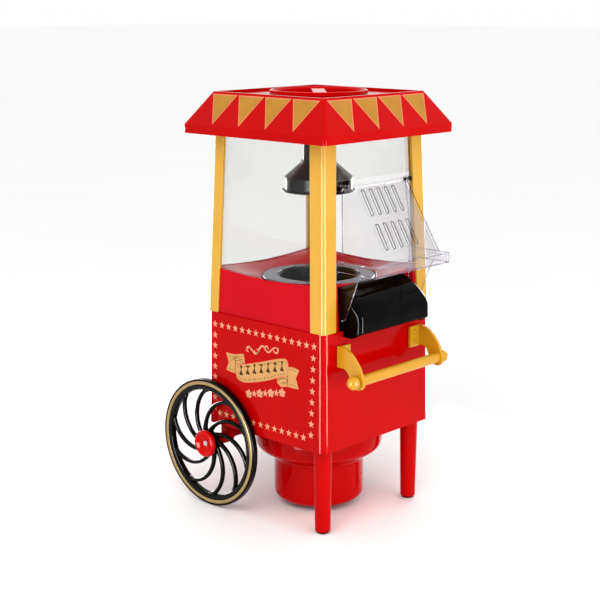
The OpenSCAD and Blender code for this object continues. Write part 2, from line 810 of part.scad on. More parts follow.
module motor_spider() {
    color("dimgray") place() difference() {
        translate([0, 0, spider_z]) cylinder(h = 2.6, r = dish_r - wall - 1.6);
        difference() {
            translate([0, 0, spider_z - 1]) cylinder(h = 5, r = duct_r - 3);
            translate([0, 0, spider_z - 2]) cylinder(h = 7, r = motor_r + 1.5);
            for (turn = [0:60:120]) rotate([0, 0, turn]) translate([-60, -3, spider_z - 2]) cube([120, 6, 7]);
        }
        translate([0, 0, spider_z - 1]) cylinder(h = 5, r = 4);
        for (i = [0:2]) rotate([0, 0, 90 + i * 120]) translate([50, 0, spider_z - 1]) cylinder(h = 5, r = 1.6);
    }
}

module fan_motor() {
    color("slategray") place() difference() {
        union() {
            translate([0, 0, motor_z]) cylinder(h = spider_z - motor_z, r = motor_r);
            translate([0, 0, motor_z - 2]) cylinder(h = 2.1, r = 5);
            translate([0, 0, spider_z]) cylinder(h = 4, r = 3.9);
        }
        translate([0, 0, motor_z - 3]) cylinder(h = spider_z - motor_z + 1, r = shaft_r + 0.05);
    }
}

module motor_shaft() {
    color("silver") place() translate([0, 0, fan_z - 1]) cylinder(h = spider_z - 4 - fan_z, r = shaft_r);
}

module fan_impeller() {
    color("white") place() translate([0, 0, fan_z]) difference() {
        union() {
            cylinder(h = fan_h - 1, r = 5);
            translate([0, 0, fan_h - 3]) cylinder(h = 1.6, r = fan_r);
            for (i = [0:blades - 1]) rotate([0, 0, i * 360 / blades]) intersection() {
                translate([4, -0.7, 1]) rotate([0, 0, 18]) cube([50, 1.4, fan_h - 3.5]);
                cylinder(h = fan_h, r = fan_r - 0.6);
            }
        }
        translate([0, 0, -1]) cylinder(h = fan_h + 2, r = shaft_r);
    }
}

// ---- Electrics at the back ----

module on_back(x, z) {
    place() translate([x, body_half_high + (body_top - z) / (body_top - body_bottom)
        * (body_half_low - body_half_high), z]) rotate([-90, 0, 0]) children();
}

module switch_housing() {
    color("#1b1b1b") on_back(switch_x, switch_z) difference() {
        union() {
            translate([0, 0, lean_gap]) linear_extrude(height = 2 - lean_gap) round_rect(24, 17, 1.5);
            translate([-10, -6.5, -14]) cube([20, 13, 14.2]);
        }
        translate([-8.4, -5, -9]) cube([16.8, 10, 14]);
        translate([0, 20, -2.5]) rotate([90, 0, 0]) cylinder(h = 40, r = 1.2);
    }
}

module switch_rocker() {
    color("#303030") on_back(switch_x, switch_z) difference() {
        intersection() {
            translate([0, 4.6, -2.5]) rotate([90, 0, 0]) linear_extrude(height = 9.2) polygon([
                [-8, 2.6], [-7.6, 5.6], [0, 4.2], [7.6, 2.4], [7.4, -0.6], [3, -3], [-3, -3], [-7.4, -1.4]
            ]);
            translate([0, 5, -2.5]) rotate([90, 0, 0]) cylinder(h = 10, r = 8.1);
        }
        translate([0, 20, -2.5]) rotate([90, 0, 0]) cylinder(h = 40, r = 1.26);
    }
}

module switch_pin() {
    color("silver") on_back(switch_x, switch_z)
        translate([0, 6.4, -2.5]) rotate([90, 0, 0]) cylinder(h = 12.8, r = 1.2);
}

module cord_gland() {
    color("#1b1b1b") on_back(gland_x, gland_z) difference() {
        union() {
            translate([0, 0, -4]) cylinder(h = 5, r = 5.4);
            translate([0, 0, lean_gap]) cylinder(h = 2.5 - lean_gap, r = 8);
            translate([0, 0, -6]) cylinder(h = 3.4, r = 4.6);
        }
        translate([0, 0, -10]) cylinder(h = 20, r = 3.6);
    }
}

// ---- Fasteners ----

module base_screws() {
    color("silver") place() for (sx = [-1, 1], sy = [-1, 1])
        translate([sx * base_screw_x, sy * 30, body_bottom]) {
            translate([0, 0, -1.6]) cylinder(h = 1.6, r1 = 2.4, r2 = 3);
            cylinder(h = 9, r = 1.6);
        }
}

module roof_screws() {
    color("silver") place() for (sx = [-1, 1], sy = [-1, 1])
        translate([sx * 60, sy * 60, post_top + wall]) {
            cylinder(h = 1.8, r1 = 3, r2 = 2.4);
            translate([0, 0, -wall]) cylinder(h = wall + 0.1, r = 1.6);
        }
}

body_shell();
base_housing();
intake_grille();
deck();
chamber_ring();
ring_seal();
post(-1, -1, front_post_w);  // front_left_post
post(1, -1, front_post_w);  // front_right_post
post(-1, 1, rear_post_w);  // rear_left_post
post(1, 1, rear_post_w);  // rear_right_post
left_panel();
right_panel();
back_panel();
front_panel();
roof();
ceiling_plate();
filler_tube();
kettle_hood();
measuring_cup();
popcorn_chute();
visor();
visor_pins();
handle_bar();
handle_knobs();
left_handle_bracket();
right_handle_bracket();
handle_screws();
front_left_leg();
front_right_leg();
leg_feet();
leg_screws();
axle_carrier();
axle();
axle_clips();
left_wheel();
left_wheel_band();
left_hub_cap();
right_wheel();
right_wheel_band();
right_hub_cap();
popping_chamber();
heater_duct();
heater_core();
heating_coil();
thermostat();
motor_spider();
fan_motor();
motor_shaft();
fan_impeller();
switch_housing();
switch_rocker();
switch_pin();
cord_gland();
base_screws();
roof_screws();
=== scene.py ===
"""Looks of a tabletop popcorn cart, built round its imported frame.

Every sub-assembly is a class that holds its sizes in metres and builds or dresses its own pieces. Every
finish is a small frozen dataclass that builds one node material. The main lines come from the frame's boxes.
"""

import logging
import math
from dataclasses import dataclass, field
from enum import Enum
from typing import Callable, Iterable, Sequence

import bmesh
import bpy
from mathutils import Matrix, Vector


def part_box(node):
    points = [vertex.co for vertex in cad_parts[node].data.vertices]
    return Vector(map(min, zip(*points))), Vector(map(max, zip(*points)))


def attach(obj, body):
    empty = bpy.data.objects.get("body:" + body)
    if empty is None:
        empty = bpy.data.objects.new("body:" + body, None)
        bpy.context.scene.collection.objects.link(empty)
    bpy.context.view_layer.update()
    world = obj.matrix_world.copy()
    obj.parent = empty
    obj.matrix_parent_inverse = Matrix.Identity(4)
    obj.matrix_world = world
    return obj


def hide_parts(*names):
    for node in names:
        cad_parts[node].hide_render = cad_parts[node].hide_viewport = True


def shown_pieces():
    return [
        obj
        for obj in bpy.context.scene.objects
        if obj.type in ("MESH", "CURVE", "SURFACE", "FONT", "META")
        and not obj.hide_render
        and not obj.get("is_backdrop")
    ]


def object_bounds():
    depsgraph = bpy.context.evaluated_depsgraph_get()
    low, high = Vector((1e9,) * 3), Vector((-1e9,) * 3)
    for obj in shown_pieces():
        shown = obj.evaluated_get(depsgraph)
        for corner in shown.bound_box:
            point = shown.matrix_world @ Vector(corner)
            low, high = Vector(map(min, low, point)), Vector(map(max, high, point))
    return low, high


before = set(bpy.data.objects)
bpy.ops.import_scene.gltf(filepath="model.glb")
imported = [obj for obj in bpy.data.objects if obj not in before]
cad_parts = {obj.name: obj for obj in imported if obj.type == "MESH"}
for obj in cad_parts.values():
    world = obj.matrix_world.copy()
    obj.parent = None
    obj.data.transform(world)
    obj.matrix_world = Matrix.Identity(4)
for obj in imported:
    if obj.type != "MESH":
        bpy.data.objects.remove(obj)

CAD_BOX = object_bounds()
MM = 0.001
LOG = logging.getLogger("cart")

INK_SLOT = "gilt"
INK_BODY = "cart"
INK_THICK = 0.00007

Point = tuple[float, float]
Colour = tuple[float, float, float]
Shell = tuple[list[Vector], list[tuple[int, ...]]]
Socket = bpy.types.NodeSocket


class Side(Enum):
    """The two sides of the cart, as the sign of X."""

    LEFT = -1
    RIGHT = 1


class Corner(Enum):
    """How a CAD node's edges are eased: the bevel's width in metres."""

    NONE = 0.0
    FINE = 0.00018
    CRISP = 0.0004
    SOFT = 0.0009


class Axis(Enum):
    """What a turned piece is turned about."""

    UPRIGHT = "Z"
    AXLE = "X"


class InkLayer(Enum):
    """Height of a print's underside above its face, in metres, by the order of printing."""

    FIRST = 0.00005
    SECOND = 0.00009
    THIRD = 0.00013


# ---------------------------------------------------------------- node materials


class NodeDesk:
    """A work surface for one node material."""

    def __init__(self, name: str) -> None:
        """Starts a material with one Principled shader.

        Args:
            name: The material's name.
        """
        self.material = bpy.data.materials.new(name)
        self.material.use_nodes = True
        self.nodes = self.material.node_tree.nodes
        self.links = self.material.node_tree.links
        self.shader = self.nodes["Principled BSDF"]
        self.output = self.nodes["Material Output"]
        self._places: Socket | None = None

    def set(self, **values: float | tuple) -> None:
        """Sets plain values on the shader's own sockets.

        Args:
            values: Socket names with underscores for spaces, and their values.
        """
        for name, value in values.items():
            self.shader.inputs[name.replace("_", " ")].default_value = value

    def places(self) -> Socket:
        """Returns the object coordinates, in metres."""
        if self._places is None:
            self._places = self.nodes.new("ShaderNodeTexCoord").outputs["Object"]
        return self._places

    def stretched(self, scale: Sequence[float]) -> Socket:
        """Returns object coordinates scaled by axis.

        Args:
            scale: Factors along X, Y and Z.
        """
        mapping = self.nodes.new("ShaderNodeMapping")
        mapping.inputs["Scale"].default_value = tuple(scale)
        self.links.new(self.places(), mapping.inputs["Vector"])
        return mapping.outputs["Vector"]

    def noise(
        self, scale: float, detail: float, rough: float = 0.5, stretch: Sequence[float] = (1, 1, 1)
    ) -> Socket:
        """Adds a noise texture.

        Args:
            scale: Cells for each metre.
            detail: Octaves of detail.
            rough: Strength of the fine octaves.
            stretch: Factors along X, Y and Z.

        Returns:
            The noise factor, about 0.5 on average.
        """
        node = self.nodes.new("ShaderNodeTexNoise")
        node.inputs["Scale"].default_value = scale
        node.inputs["Detail"].default_value = detail
        node.inputs["Roughness"].default_value = rough
        self.links.new(self.stretched(stretch), node.inputs["Vector"])
        return node.outputs["Fac"]

    def span(self, source: Socket, low: float, high: float) -> Socket:
        """Maps a factor's middle range onto low to high.

        Args:
            source: A factor, such as a noise.
            low: Result where the factor is 0.3 or less.
            high: Result where the factor is 0.7 or more.

        Returns:
            The mapped value.
        """
        node = self.nodes.new("ShaderNodeMapRange")
        node.inputs["From Min"].default_value = 0.3
        node.inputs["From Max"].default_value = 0.7
        node.inputs["To Min"].default_value = low
        node.inputs["To Max"].default_value = high
        self.links.new(source, node.inputs["Value"])
        return node.outputs["Result"]

    def ramp(self, source: Socket, low: Colour, high: Colour) -> Socket:
        """Blends two colours by a factor.

        Args:
            source: The factor.
            low: Colour at 0.35.
            high: Colour at 0.65.

        Returns:
            The blended colour.
        """
        node = self.nodes.new("ShaderNodeValToRGB")
        first, last = node.color_ramp.elements
        first.position, first.color = 0.35, (*low, 1)
        last.position, last.color = 0.65, (*high, 1)
        self.links.new(source, node.inputs["Fac"])
        return node.outputs["Color"]

    def bump(self, source: Socket, depth: float, below: Socket | None = None) -> Socket:
        """Adds a bump.

        Args:
            source: The height, from 0 to 1.
            depth: Depth of the relief in metres.
            below: A bump that this one lies on.

        Returns:
            The bent normal.
        """
        node = self.nodes.new("ShaderNodeBump")
        node.inputs["Distance"].default_value = depth
        node.inputs["Strength"].default_value = 1.0
        self.links.new(source, node.inputs["Height"])
        if below is not None:
            self.links.new(below, node.inputs["Normal"])
        return node.outputs["Normal"]

    def reckon(self, operation: str, *terms: Socket | float, clamp: bool = False) -> Socket:
        """Adds a sum.

        Args:
            operation: Its kind.
            terms: Sockets and plain numbers that it works on, in order.
            clamp: Whether the result is held between 0 and 1.

        Returns:
            The result.
        """
        node = self.nodes.new("ShaderNodeMath")
        node.operation = operation
        node.use_clamp = clamp
        for term, socket in zip(terms, node.inputs):
            if isinstance(term, float):
                socket.default_value = term
            else:
                self.links.new(term, socket)
        return node.outputs["Value"]

    def plug(self, source: Socket, socket: str) -> None:
        """Feeds a socket of the shader.

        Args:
            source: What feeds it.
            socket: The shader socket's name.
        """
        self.links.new(source, self.shader.inputs[socket])


@dataclass(frozen=True)
class Moulding:
    """Injection-moulded plastic: faint flow clouds, a slight surface wave, fine rub marks and smudges."""

    name: str
    colour: Colour
    roughness: float = 0.16
    specular: float = 0.22
    wave: float = 0.00002
    grain: float = 0.0000012
    shade: float = 0.93

    def build(self) -> bpy.types.Material:
        """Returns the node material."""
        desk = NodeDesk(self.name)
        desk.set(Specular_IOR_Level=self.specular)
        clouds = desk.noise(14, 4, 0.55)
        deep = tuple(c * self.shade for c in self.colour)
        desk.plug(desk.ramp(clouds, deep, self.colour), "Base Color")
        smudge = desk.noise(38, 5, 0.62)
        desk.plug(desk.span(smudge, self.roughness * 0.8, self.roughness * 1.35), "Roughness")
        flow = desk.bump(desk.noise(24, 2, 0.4), self.wave)
        peel = desk.bump(desk.noise(900, 3, 0.6), self.grain, flow)
        desk.plug(peel, "Normal")
        return desk.material


@dataclass(frozen=True)
class ClearSheet:
    """Clear moulded plastic: it passes most light, mirrors a little, and shows faint haze and rub marks."""

    name: str
    tint: Colour = (0.969, 0.969, 0.965)
    body: Colour = (0.86, 0.86, 0.86)
    least: float = 0.012
    most: float = 0.45
    haze: float = 0.008

    def build(self) -> bpy.types.Material:
        """Returns the node material."""
        desk = NodeDesk(self.name)
        desk.set(Base_Color=(*self.body, 1), Metallic=0.85)
        smudge = desk.noise(30, 5, 0.6)
        desk.plug(desk.span(smudge, 0.03, 0.10), "Roughness")
        desk.plug(desk.bump(desk.noise(18, 2, 0.4), 0.00003), "Normal")
        passing = desk.nodes.new("ShaderNodeBsdfTransparent")
        passing.inputs["Color"].default_value = (*self.tint, 1)
        facing = desk.nodes.new("ShaderNodeLayerWeight")
        facing.inputs["Blend"].default_value = 0.22
        edge = desk.nodes.new("ShaderNodeMapRange")
        edge.inputs["To Min"].default_value = self.least
        edge.inputs["To Max"].default_value = self.most
        desk.links.new(facing.outputs["Fresnel"], edge.inputs["Value"])
        streak = desk.noise(9, 4, 0.6, (1, 1, 0.35))
        mirrored = desk.reckon("ADD", edge.outputs["Result"], desk.span(streak, 0.0, self.haze), clamp=True)
        blend = desk.nodes.new("ShaderNodeMixShader")
        desk.links.new(mirrored, blend.inputs["Fac"])
        desk.links.new(passing.outputs["BSDF"], blend.inputs[1])
        desk.links.new(desk.shader.outputs["BSDF"], blend.inputs[2])
        desk.links.new(blend.outputs["Shader"], desk.output.inputs["Surface"])
        return desk.material


@dataclass(frozen=True)
class Metal:
    """Bare or plated metal with directional brushing and dull patches."""

    name: str
    colour: Colour
    roughness: float = 0.25
    brush: Sequence[float] = (1, 1, 14)
    depth: float = 0.000004

    def build(self) -> bpy.types.Material:
        """Returns the node material."""
        desk = NodeDesk(self.name)
        desk.set(Metallic=1.0)
        patches = desk.noise(40, 4, 0.6)
        dull = tuple(c * 0.86 for c in self.colour)
        desk.plug(desk.ramp(patches, dull, self.colour), "Base Color")
        brushing = desk.noise(260, 4, 0.7, self.brush)
        desk.plug(desk.span(brushing, self.roughness * 0.75, self.roughness * 1.4), "Roughness")
        desk.plug(desk.bump(brushing, self.depth), "Normal")
        return desk.material


@dataclass(frozen=True)
class PrintedFoil:
    """Metallic ink printed on plastic: a fine speckle and slight colour drift."""

    name: str
    colour: Colour
    deep: Colour
    roughness: float = 0.42
    metallic: float = 0.0
    speckle: float = 2600

    def build(self) -> bpy.types.Material:
        """Returns the node material."""
        desk = NodeDesk(self.name)
        desk.set(Metallic=self.metallic, Specular_IOR_Level=0.3)
        drift = desk.noise(60, 3, 0.5)
        speckle = desk.noise(self.speckle, 2, 0.7)
        mean = desk.reckon("MULTIPLY_ADD", speckle, 0.5, desk.reckon("MULTIPLY", drift, 0.5))
        desk.plug(desk.ramp(mean, self.deep, self.colour), "Base Color")
        desk.plug(desk.span(speckle, self.roughness * 0.85, self.roughness * 1.2), "Roughness")
        desk.plug(desk.bump(speckle, 0.000006), "Normal")
        return desk.material


@dataclass(frozen=True)
class Matte:
    """A dull surface, such as rubber, mica or ceramic: grain, mottling and no shine."""

    name: str
    colour: Colour
    deep: Colour
    roughness: float = 0.6
    scale: float = 500
    depth: float = 0.00002
    stretch: Sequence[float] = (1, 1, 1)

    def build(self) -> bpy.types.Material:
        """Returns the node material."""
        desk = NodeDesk(self.name)
        desk.set(Specular_IOR_Level=0.3)
        grain = desk.noise(self.scale, 5, 0.65, self.stretch)
        desk.plug(desk.ramp(grain, self.deep, self.colour), "Base Color")
        desk.plug(desk.span(grain, self.roughness * 0.9, self.roughness * 1.1), "Roughness")
        desk.plug(desk.bump(grain, self.depth), "Normal")
        return desk.material


class FinishShelf:
    """Builds each finish once and hands it out by its name."""

    def __init__(self) -> None:
        """Lays out the cart's finishes."""
        self._made: dict[str, bpy.types.Material] = {}
        finishes = [
            Moulding("body_red", (0.52, 0.0014, 0.002), 0.1, 0.22),
            Moulding("deck_crimson", (0.57, 0.0014, 0.015), 0.14, 0.26),
            Moulding("post_yellow", (0.68, 0.405, 0.058), 0.18, 0.45, 0.00001),
            Moulding("handle_yellow", (0.63, 0.33, 0.035), 0.17, 0.45, 0.00001),
            Moulding("black_gloss", (0.002, 0.002, 0.0023), 0.05, 0.16, 0.0007, shade=0.8),
            Moulding("chute_black", (0.0035, 0.0033, 0.0032), 0.06, 0.17, 0.0022, shade=0.8),
            Moulding("charcoal", (0.008, 0.008, 0.01), 0.22, 0.2),
            Moulding("wheel_black", (0.005, 0.0048, 0.0042), 0.16, 0.35),
            Moulding("hub_red", (0.6, 0.002, 0.0026), 0.08, 0.32),
            Matte("foot_dark", (0.16, 0.004, 0.004), (0.11, 0.003, 0.003), 0.5),
            Matte("seal_black", (0.01, 0.01, 0.011), (0.005, 0.005, 0.006), 0.5),
            Matte("mica", (0.55, 0.45, 0.3), (0.36, 0.28, 0.17), 0.45, 300, 0.00004, (1, 1, 6)),
            Matte("ceramic", (0.78, 0.75, 0.66), (0.7, 0.66, 0.56), 0.55, 800),
            Matte("fan_white", (0.76, 0.76, 0.73), (0.68, 0.68, 0.65), 0.4, 700, 0.00001),
            Metal("steel", (0.62, 0.62, 0.64), 0.24),
            Metal("chamber_alu", (0.045, 0.048, 0.062), 0.28, (1, 1, 20)),
            Metal("ring_alu", (0.105, 0.098, 0.125), 0.22, (1, 1, 20)),
            Metal("heater_wire", (0.3, 0.27, 0.25), 0.45),
            Metal("motor_steel", (0.45, 0.47, 0.5), 0.3, (1, 1, 18)),
            ClearSheet("clear_panel"),
            ClearSheet("clear_visor", (0.962, 0.957, 0.963), (0.78, 0.77, 0.8), 0.016, 0.4, 0.01),
            # Painted light for the visor's edges: the first sheet draws dark lines that paint shade round
            # the slots, the second pale lines that paint highlights along the outlines.
            ClearSheet("clear_edge", (0.3, 0.29, 0.32), (0.34, 0.33, 0.37), 0.1, 0.5, 0.06),
            ClearSheet("bright_edge", (0.52, 0.5, 0.58), (0.6, 0.58, 0.67), 0.35, 0.65, 0.08),
            PrintedFoil("gilt", (0.5, 0.36, 0.18), (0.38, 0.26, 0.12), 0.3, 0.5),
            PrintedFoil("print_gold", (0.52, 0.245, 0.045), (0.44, 0.19, 0.033), 0.42, 0.1),
            PrintedFoil("print_peach", (0.76, 0.37, 0.21), (0.68, 0.31, 0.17), 0.45),
            PrintedFoil("print_coral", (0.72, 0.24, 0.12), (0.62, 0.19, 0.09), 0.45),
            PrintedFoil("print_ribbon", (0.66, 0.37, 0.13), (0.58, 0.31, 0.1), 0.45),
            PrintedFoil("print_brown", (0.085, 0.035, 0.01), (0.05, 0.02, 0.006), 0.5),
        ]
        self._finishes = {f.name: f for f in finishes}

    def get(self, name: str) -> bpy.types.Material:
        """Returns a finish's material, built on first use.

        Args:
            name: The finish's name.
        """
        if name not in self._made:
            self._made[name] = self._finishes[name].build()
        return self._made[name]


SHELF = FinishShelf()


# ---------------------------------------------------------------- mesh helpers


class Stock:
    """Raw mesh making, shared by the sub-assemblies."""

    @staticmethod
    def piece(
        name: str,
        points: Iterable[Sequence[float]],
        faces: Iterable[Sequence[int]],
        finish: str,
        slot: str,
        smooth: bool = True,
    ) -> bpy.types.Object:
        """Makes a mesh piece from points and faces.

        Args:
            name: The piece's name.
            points: Vertex places in metres.
            faces: Vertex indices of each face.
            finish: Name of the finish.
            slot: Not used.
            smooth: Whether faces are shaded smooth.

        Returns:
            The new piece.
        """
        mesh = bpy.data.meshes.new(name)
        mesh.from_pydata([tuple(p) for p in points], [], [tuple(f) for f in faces])
        solid = bmesh.new()
        solid.from_mesh(mesh)
        bmesh.ops.remove_doubles(solid, verts=solid.verts, dist=1e-7)
        bmesh.ops.recalc_face_normals(solid, faces=solid.faces)
        solid.to_mesh(mesh)
        solid.free()
        for polygon in mesh.polygons:
            polygon.use_smooth = smooth
        made = bpy.data.objects.new(name, mesh)
        bpy.context.scene.collection.objects.link(made)
        mesh.materials.append(SHELF.get(finish))
        return made

    @staticmethod
    def ease(obj: bpy.types.Object, corner: Corner, segments: int = 2, weld: bool = False) -> None:
        """Rounds a piece's sharp edges and evens its shading, with modifiers only.

        Args:
            obj: The piece.
            corner: How far the edges are rounded.
            segments: Facets across each rounded edge.
            weld: Whether split vertices are joined first.
        """
        if weld:
            joiner = obj.modifiers.new("join", "WELD")
            joiner.merge_threshold = 0.000004
        if corner is not Corner.NONE:
            bevel = obj.modifiers.new("ease", "BEVEL")
            bevel.width = corner.value
            bevel.segments = segments
            bevel.limit_method = "ANGLE"
            bevel.angle_limit = math.radians(32)
            bevel.use_clamp_overlap = True
            bevel.miter_outer = "MITER_ARC"
        even = obj.modifiers.new("even", "WEIGHTED_NORMAL")
        even.mode = "FACE_AREA"
        even.weight = 60
        even.keep_sharp = False

    @staticmethod
    def turned(
        name: str,
        profile: Sequence[Point],
        centre: Sequence[float],
        finish: str,
        slot: str,
        steps: int,
        axis: Axis = Axis.UPRIGHT,
    ) -> bpy.types.Object:
        """Turns a closed profile round an axis.

        Args:
            name: The piece's name.
            profile: (radius, height along the axis) pairs.
            centre: A point on the axis, from which heights count.
            finish: Name of the finish.
            slot: The record's material slot.
            steps: Facets round the axis.
            axis: The axis.

        Returns:
            The turned piece.
        """
        points: list[Vector] = []
        for i in range(steps):
            turn = 2 * math.pi * i / steps
            for radius, height in profile:
                if axis is Axis.UPRIGHT:
                    offset = Vector((radius * math.cos(turn), radius * math.sin(turn), height))
                else:
                    offset = Vector((height, radius * math.cos(turn), radius * math.sin(turn)))
                points.append(Vector(centre) + offset)
        count = len(profile)
        faces = []
        for i in range(steps):
            here, there = i * count, (i + 1) % steps * count
            for j in range(count):
                k = (j + 1) % count
                faces.append((here + j, here + k, there + k, there + j))
        return Stock.piece(name, points, faces, finish, slot)

    @staticmethod
    def tube(path: Sequence[Vector], radius: Callable[[float], Point], across: Vector, sides: int) -> Shell:
        """Sweeps an oval along a path.

        Args:
            path: The centreline.
            radius: Gives the oval's half sizes (in the path's plane, across it) at a share of the length.
            across: Direction of the oval's second axis.
            sides: Facets round the oval.

        Returns:
            The points and the faces, capped at both ends.
        """
        points: list[Vector] = []
        last = len(path) - 1
        for i, here in enumerate(path):
            ahead = (path[min(i + 1, last)] - path[max(i - 1, 0)]).normalized()
            inward = ahead.cross(across).normalized()
            side = inward.cross(ahead).normalized()
            wide, deep = radius(i / last)
            for j in range(sides):
                turn = 2 * math.pi * j / sides
                points.append(here + inward * (wide * math.cos(turn)) + side * (deep * math.sin(turn)))
        faces = []
        for i in range(last):
            for j in range(sides):
                k = (j + 1) % sides
                faces.append((i * sides + j, i * sides + k, (i + 1) * sides + k, (i + 1) * sides + j))
        faces.append(tuple(reversed(range(sides))))
        faces.append(tuple(last * sides + j for j in range(sides)))
        return points, faces

    @staticmethod
    def bundle(shells: Iterable[Shell]) -> Shell:
        """Gathers several shells in one.

        Args:
            shells: The points and faces of each.
        """
        points: list[Vector] = []
        faces: list[tuple[int, ...]] = []
        for more, loops in shells:
            base = len(points)
            points += more
            faces += [tuple(base + i for i in loop) for loop in loops]
        return points, faces

    @staticmethod
    def arc(centre: Point, radius: float, start: float, stop: float, steps: int) -> list[Point]:
        """Points of an arc.

        Args:
            centre: The arc's centre.
            radius: Its radius.
            start: First angle in degrees.
            stop: Last angle in degrees.
            steps: Number of stretches.

        Returns:
            The points, both ends included.
        """
        made = []
        for i in range(steps + 1):
            turn = math.radians(start + (stop - start) * i / steps)
            made.append((centre[0] + radius * math.cos(turn), centre[1] + radius * math.sin(turn)))
        return made

    @staticmethod
    def smooth_line(points: Sequence[Point], steps: int) -> list[Point]:
        """Draws a Catmull-Rom curve through points.

        Args:
            points: The points it passes through.
            steps: Stretches between two points.

        Returns:
            The curve's points.
        """
        made: list[Point] = []
        last = len(points) - 1
        for i in range(last):
            p0, p1 = points[max(i - 1, 0)], points[i]
            p2, p3 = points[i + 1], points[min(i + 2, last)]
            for j in range(steps):
                t = j / steps
                made.append(
                    tuple(
                        0.5
                        * (
                            2 * p1[k]
                            + (p2[k] - p0[k]) * t
                            + (2 * p0[k] - 5 * p1[k] + 4 * p2[k] - p3[k]) * t * t
                            + (3 * p1[k] - p0[k] - 3 * p2[k] + p3[k]) * t**3
                        )
                        for k in (0, 1)
                    )
                )
        made.append(tuple(points[-1]))
        return made


@dataclass(frozen=True)
class CartLines:
    """The cart's main lines, read from the frame's boxes."""

    axis_y: float
    body_low: Vector
    body_high: Vector

    @classmethod
    def read(cls) -> "CartLines":
        """Returns the lines of the loaded frame."""
        low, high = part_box("body_shell")
        return cls((low.y + high.y) / 2, low, high)

    def at(self, x: float, y: float, z: float) -> Vector:
        """Returns a place given from the body's upright axis.

        Args:
            x: Distance to the right of the axis.
            y: Distance behind the axis.
            z: Height above the floor.
        """
        return Vector((x, y + self.axis_y, z))


LINES = CartLines.read()


def dress(node: str, finish: str, corner: Corner, segments: int = 2) -> None:
    """Gives a CAD node its finish and eased edges.

    Args:
        node: The node's name.
        finish: Name of the finish.
        corner: How far its edges are rounded.
        segments: Facets across each rounded edge.
    """
    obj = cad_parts[node]
    material = SHELF.get(finish)
    if not obj.material_slots:
        obj.data.materials.append(material)
    for slot in obj.material_slots:
        slot.material = material
    Stock.ease(obj, corner, segments, weld=True)


def dress_all(nodes: Iterable[str], finish: str, corner: Corner, segments: int = 2) -> None:
    """Gives several CAD nodes the same finish and eased edges.

    Args:
        nodes: The nodes' names.
        finish: Name of the finish.
        corner: How far their edges are rounded.
        segments: Facets across each rounded edge.
    """
    for node in nodes:
        dress(node, finish, corner, segments)


# ---------------------------------------------------------------- printed decoration


@dataclass(frozen=True)
class PrintPlane:
    """A flat face that takes printed shapes, drawn as (across, up) from its own origin."""

    origin: Vector
    across: Vector
    up: Vector

    @property
    def out(self) -> Vector:
        """Returns the face's outward normal."""
        return self.across.cross(self.up).normalized()

    def place(self, u: float, v: float, lift: float) -> Vector:
        """Returns the place of a drawn point.

        Args:
            u: Distance across.
            v: Distance up.
            lift: Height above the face.
        """
        return self.origin + self.across * u + self.up * v + self.out * lift


class Printer:
    """Collects flat printed shapes on one plane and makes them a thin raised piece."""

    def __init__(self, plane: PrintPlane, layer: InkLayer = InkLayer.FIRST) -> None:
        """Starts an empty print.

        Args:
            plane: The face that is printed.
            layer: The layer of ink.
        """
        self.plane = plane
        self.layer = layer
        self.points: list[Vector] = []
        self.faces: list[tuple[int, ...]] = []

    def shape(self, outline: Sequence[Point]) -> None:
        """Prints one closed outline, given counter-clockwise.

        Args:
            outline: Its (across, up) points in metres.
        """
        start, count = len(self.points), len(outline)
        for lift in (self.layer.value, self.layer.value + INK_THICK):
            self.points += [self.plane.place(u, v, lift) for u, v in outline]
        self.faces.append(tuple(start + i for i in reversed(range(count))))
        self.faces.append(tuple(start + count + i for i in range(count)))
        for i in range(count):
            k = (i + 1) % count
            self.faces.append((start + i, start + k, start + count + k, start + count + i))

    def stroke(self, line: Sequence[Point], width: float, swell: float = 0.0) -> None:
        """Prints a pen stroke.

        Args:
            line: The stroke's centreline.
            width: The stroke's width at its ends.
            swell: How much wider it is halfway.
        """
        left: list[Point] = []
        right: list[Point] = []
        last = len(line) - 1
        for i, (u, v) in enumerate(line):
            du = line[min(i + 1, last)][0] - line[max(i - 1, 0)][0]
            dv = line[min(i + 1, last)][1] - line[max(i - 1, 0)][1]
            size = math.hypot(du, dv) or 1.0
            half = (width + swell * math.sin(math.pi * i / last)) / 2
            left.append((u - dv / size * half, v + du / size * half))
            right.append((u + dv / size * half, v - du / size * half))
        for i in range(last):
            self.shape([right[i], right[i + 1], left[i + 1], left[i]])

    def star(self, u: float, v: float, radius: float) -> None:
        """Prints a five-pointed star.

        Args:
            u: Centre across.
            v: Centre up.
            radius: Radius to its points.
        """
        tips = []
        for i in range(10):
            reach = radius if i % 2 == 0 else radius * 0.4
            turn = math.pi / 2 + i * math.pi / 5
            tips.append((u + reach * math.cos(turn), v + reach * math.sin(turn)))
        for i in range(0, 10, 2):
            self.shape([tips[i], tips[i + 1], (u, v), tips[i - 1]])

    def dot(self, u: float, v: float, radius: float) -> None:
        """Prints a round dot.

        Args:
            u: Centre across.
            v: Centre up.
            radius: The dot's radius.
        """
        self.shape(Stock.arc((u, v), radius, 0, 337.5, 15))

    def finish(self, name: str, ink: str) -> None:
        """Makes the print a piece.

        Args:
            name: The piece's name.
            ink: Name of the ink's finish.
        """
        made = Stock.piece(name, self.points, self.faces, ink, INK_SLOT, smooth=False)
        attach(made, INK_BODY)


